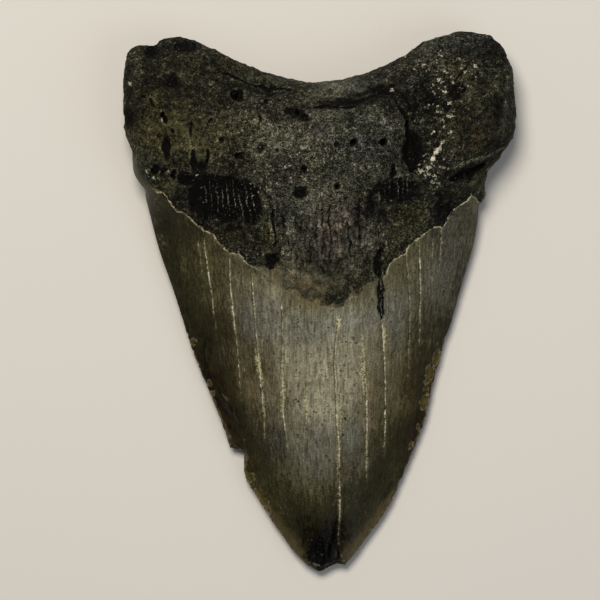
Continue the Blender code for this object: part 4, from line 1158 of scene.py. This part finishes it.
def cracked(tree, enamel, on, p):
    """Growth cracks: pale threads, beaded and broken along their length, in a speckled halo, with a thin
    line of painted shade beside each.
    """
    aside, shown = beside_cracks(tree, on, p)
    near = add(tree, aside, **UNSIGNED)
    width = mixture(tree, -0.02, (shown, 0.15), (p["beads"], 0.06))
    thread = overlap(tree, add(tree, add(tree, near, width, **MINUS), 0.08, -0.05, **MASK), shown)
    halo = overlap(tree, add(tree, near, 0.8, 0.05, **MASK), on["crack_show"],
                   add(tree, p["clots"], -0.6, 0.5, **MASK))
    # Painted shade: a thin dark line 0.3 mm to the left of each crack, where a step at the crack would cast
    # shade
    left = add(tree, add(tree, aside, 0.30, **PLUS), **UNSIGNED)
    shade = overlap(tree, add(tree, left, 0.30, 0.05, **MASK), on["crack_show"],
                    add(tree, p["clots"], 0.9, -0.3, **MASK))
    soaked = mixture(tree, on["crack_stain"], (p["grain"], 0.35), (p["beads"], 0.2))
    soaked = overlap(tree, soaked, add(tree, on["crack_stain"], 0.05, 0.3, **MASK))
    specks = overlap(tree, add(tree, halo, on["crack_stain"], **GREATER),
                     add(tree, p["sand"], 0.34, 0.18, **MASK), 0.9)
    bright = mixture(tree, on["crack_show"], (p["beads"], 0.35), (p["clots"], 0.2))
    enamel = coats(
        tree, enamel,
        (overlap(tree, halo, 0.35), "#8a8460"),
        (overlap(tree, add(tree, soaked, 0.25, 0.7, **MASK), 0.85), "#a19b74"),
        (overlap(tree, add(tree, soaked, 0.65, 1.05, **MASK), 0.85), "#cbc6a8"),
        (specks, "#34301c"),
        (overlap(tree, shade, 0.75), "#2b2818"),
        (overlap(tree, thread, 0.9), "#a59f86"),
        (overlap(tree, thread, add(tree, bright, 0.7, 1.4, **MASK)), "#d3cfba"),
        (overlap(tree, thread, add(tree, p["grain"], 0.1, 0.5, **MASK), 0.9), "#4a4524"),
    )
    return enamel, thread


def flaked(tree, enamel, on, p):
    """The flaked edges: amber dentine with a pale broken rim."""
    depth = mixture(tree, on["flakes"], (p["grain"], 0.14), (p["clots"], 0.16))
    broken = add(tree, p["beads"], -0.7, 0.3, **MASK)
    worn = overlap(tree, add(tree, on["rim"], 0.40, 0.08, **MASK), add(tree, p["clots"], -0.4, 0.6, **MASK))
    return coats(
        tree, enamel,
        (overlap(tree, add(tree, depth, -0.12, 0.06, **MASK), broken, 0.6), "#7c7254"),
        (overlap(tree, add(tree, depth, 0.12, 0.34, **MASK), 0.9), "#3b3315"),
        (overlap(tree, add(tree, depth, 0.3, 0.7, **MASK), broken, 0.5), "#66561f"),
        (overlap(tree, worn, 0.5), "#7f775e"),
    )


def covered(tree, colour, on, p):
    """Black crust, partly painted shade in the root's furrow and hollow, pits and grooves in painted shade,
    pale ribs and ridges, and chalk over everything else.
    """
    fibrous = overlap(tree, p["fibre"], on["fibres"])
    crust_and_shade_mask = mixture(tree, on["crust_and_shade"], (p["clots"], 0.32), (p["blots"], 0.16), (p["grain"], 0.2),
                     (fibrous, 0.12))
    black = add(tree, mixture(tree, 0.0, (p["grain"], 0.28), (p["sand"], 0.6)), **RAMP, stops=(
        (0.2, "#010101"), (0.5, "#040403"), (0.7, "#131210"), (0.94, "#757164")))
    # Painted shade inside the pits and grooves, with a few pale grains in it
    hole = add(tree, mixture(tree, 0.0, (p["grain"], 0.28), (p["sand"], 0.5)), **RAMP, stops=(
        (0.2, "#020202"), (0.5, "#0d0b09"), (0.8, "#453e31")))
    beaded = add(tree, mixture(tree, p["beads"], (p["grain"], 0.6)), -0.5, 0.5, **MASK)
    grainy_rib = mixture(tree, on["ribs"], (p["grain"], 0.35))
    rib = overlap(tree, add(tree, grainy_rib, 0.0, 0.8, **MASK), beaded,
                  add(tree, on["crust_and_shade"], -0.2, 0.9, **MASK), 0.7)
    # Pale colour along the ridges; on the right lobe's ledge it is a painted highlight along the lip
    ridge = overlap(tree, add(tree, on["ridges"], -0.1, 0.5, **MASK), beaded, 0.45)
    chalky = mixture(tree, on["chalk"], (p["grain"], 0.55), (p["beads"], 0.35), (p["clots"], 0.35))
    dusty = mixture(tree, p["crystal"], (on["dust"], 0.16), (p["grain"], 0.04))
    pitted = mixture(tree, on["pits"], (p["grain"], 0.20), (p["beads"], 0.12), (p["clots"], 0.10))
    return coats(
        tree, colour,
        # Black crust, which in the furrow under the top rim and the hollow beside the plateau is painted
        # shade
        (add(tree, crust_and_shade_mask, 0.0, 0.35, **MASK), black),
        # painted shade in the pits and grooves
        (add(tree, pitted, 0.0, 0.30, **MASK), hole),
        (rib, "#8f8c80"),
        (ridge, "#7d7a67"),
        (overlap(tree, add(tree, dusty, 1.02, 1.07, **MASK), 0.7), "#9f9b87"),
        (add(tree, chalky, 0.22, 0.48, **MASK), "#a19d89"),
        (add(tree, chalky, 0.70, 0.95, **MASK), "#d0ccb8"),
    )


def joined(tree, enamel, root, on, p):
    """Enamel and root meet in a thin pale line at both sides; in the middle it is lost in brown stains."""
    blur = add(tree, 1.0, on["edge_shows"], **MINUS)
    smear = mixture(tree, 0.0, (p["blots"], 0.9), (p["clots"], 0.8), (p["beads"], 0.5))
    smear = overlap(tree, smear, blur)
    ragged = mixture(tree, on["enamel_edge"], (p["grain"], 0.12), (p["beads"], 0.10), (smear, 1.0))
    is_root = add(tree, ragged, add(tree, blur, -0.5, -0.05, **TIMES_PLUS),
                  add(tree, blur, 0.8, 0.12, **TIMES_PLUS), **MASK)
    stain = overlap(tree, add(tree, ragged, -2.2, 0.2, **MASK), blur,
                    add(tree, p["clots"], -0.9, 0.5, **MASK), 0.35)
    broken = add(tree, mixture(tree, p["clots"], (p["beads"], 0.8)), -0.9, 0.7, **MASK)
    lip = overlap(tree, add(tree, ragged, -0.34, -0.12, **MASK), add(tree, ragged, 0.10, -0.04, **MASK),
                  on["edge_shows"], broken, 0.85)
    colour = coats(tree, enamel, (stain, "#4e472f"), (is_root, root), (lip, "#b7ae8c"))
    return colour, is_root


def fossil_material(names):
    """Fossil tooth. Growth left its enamel smooth and streaked lengthwise, which gives a satin shine; its
    root is porous bone that minerals filled in the ground, dark, gritty and matt."""
    material = bpy.data.materials.new("fossil_tooth")
    material.use_nodes = True
    tree = material.node_tree
    shader = tree.nodes["Principled BSDF"]
    on = {name: add(tree, kind="ShaderNodeAttribute", output="Fac", attribute_name=name) for name in names}
    p = patterns(tree)

    enamel, thread = cracked(tree, enamel_colour(tree, on, p), on, p)
    enamel = flaked(tree, enamel, on, p)
    colour, is_root = joined(tree, enamel, root_colour(tree, on, p), on, p)
    tree.links.new(covered(tree, colour, on, p), shader.inputs["Base Color"])

    rough = add(tree, is_root, 0.0, 1.0, ENAMEL_ROUGHNESS, ROOT_ROUGHNESS, kind="ShaderNodeMapRange")
    tree.links.new(rough, shader.inputs["Roughness"])
    relief = mixture(tree, 0.0, (p["grain"], 0.6), (p["sand"], 0.5), (p["clots"], 0.4))
    relief = overlap(tree, relief, add(tree, is_root, 0.92, 0.08, **TIMES_PLUS))
    relief = mixture(tree, relief, (thread, -0.3), (p["streaks"], 0.04))
    bump = add(tree, kind="ShaderNodeBump", output="Normal",
               inputs={"Strength": 1.0, "Distance": BUMP_HEIGHT, "Height": relief})
    tree.links.new(bump, shader.inputs["Normal"])
    shader.inputs["Metallic"].default_value = 0.0
    shader.inputs["IOR"].default_value = FOSSIL_IOR
    shader.inputs["Specular IOR Level"].default_value = SPECULAR_LEVEL
    return material


# The studio

# The width of the camera's view, the point that it is centred on, and the height at which both are measured
FIELD = 150 * MM
MIDDLE = (-4.9 * MM, 0.6 * MM)
EDGE_HEIGHT = 7 * MM
# A long lens on a full-frame sensor
LENS = 200
SENSOR = 36
CAMERA_AWAY = FIELD * LENS / SENSOR
NEAREST_SEEN = 0.01
FLOOR_SIZE = 1.6
FLOOR_ROUGHNESS = 0.9
SKY_STRENGTH = 0.20


def add_camera():
    """Straight above the tooth, far enough away for its sides to stay hidden."""
    bpy.ops.object.camera_add(location=(*MIDDLE, EDGE_HEIGHT + CAMERA_AWAY), rotation=(0, 0, 0))
    camera = bpy.context.active_object
    camera.name = "camera"
    camera.data.lens = LENS
    camera.data.sensor_width = SENSOR
    camera.data.clip_start = NEAREST_SEEN
    bpy.context.scene.camera = camera


def add_light(name, place, size, watts, colour):
    """A round soft light that points at the tooth's middle."""
    aim = (-Vector(place)).to_track_quat("-Z", "Y").to_euler()
    bpy.ops.object.light_add(type="AREA", location=place, rotation=aim)
    light = bpy.context.active_object
    light.name = name
    light.data.shape = "DISK"
    light.data.size = size
    light.data.energy = watts
    light.data.color = hex_colour(colour)[:3]


def add_floor():
    """Plain pale studio board, painted matt."""
    bpy.ops.mesh.primitive_plane_add(size=FLOOR_SIZE, location=(0, 0, 0))
    floor = bpy.context.active_object
    floor.name = "floor"
    material = bpy.data.materials.new("painted_board")
    material.use_nodes = True
    shader = material.node_tree.nodes["Principled BSDF"]
    shader.inputs["Base Color"].default_value = hex_colour("#cfccc5")
    shader.inputs["Roughness"].default_value = FLOOR_ROUGHNESS
    floor.data.materials.append(material)


def add_studio():
    """A dim even sky, a warm light from the upper left and a weak cool one from the lower right."""
    world = bpy.data.worlds.new("studio")
    bpy.context.scene.world = world
    world.use_nodes = True
    sky = world.node_tree.nodes["Background"]
    sky.inputs["Color"].default_value = hex_colour("#e8ecf0")
    sky.inputs["Strength"].default_value = SKY_STRENGTH
    add_light("key", place=(-0.12, 0.30, 0.75), size=0.35, watts=6.2, colour="#fff8ee")
    add_light("fill", place=(0.45, -0.25, 0.55), size=0.6, watts=1.0, colour="#eef3ff")
    bpy.context.scene.view_settings.view_transform = "Standard"
    bpy.context.scene.view_settings.look = "None"


add_camera()
add_studio()
add_floor()
fossil_tooth = model_fossil_tooth()
layer_names = paint_layers(fossil_tooth)
fossil_tooth.data.materials.clear()
fossil_tooth.data.materials.append(fossil_material(layer_names))
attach(fossil_tooth, "root")
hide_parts("tooth")
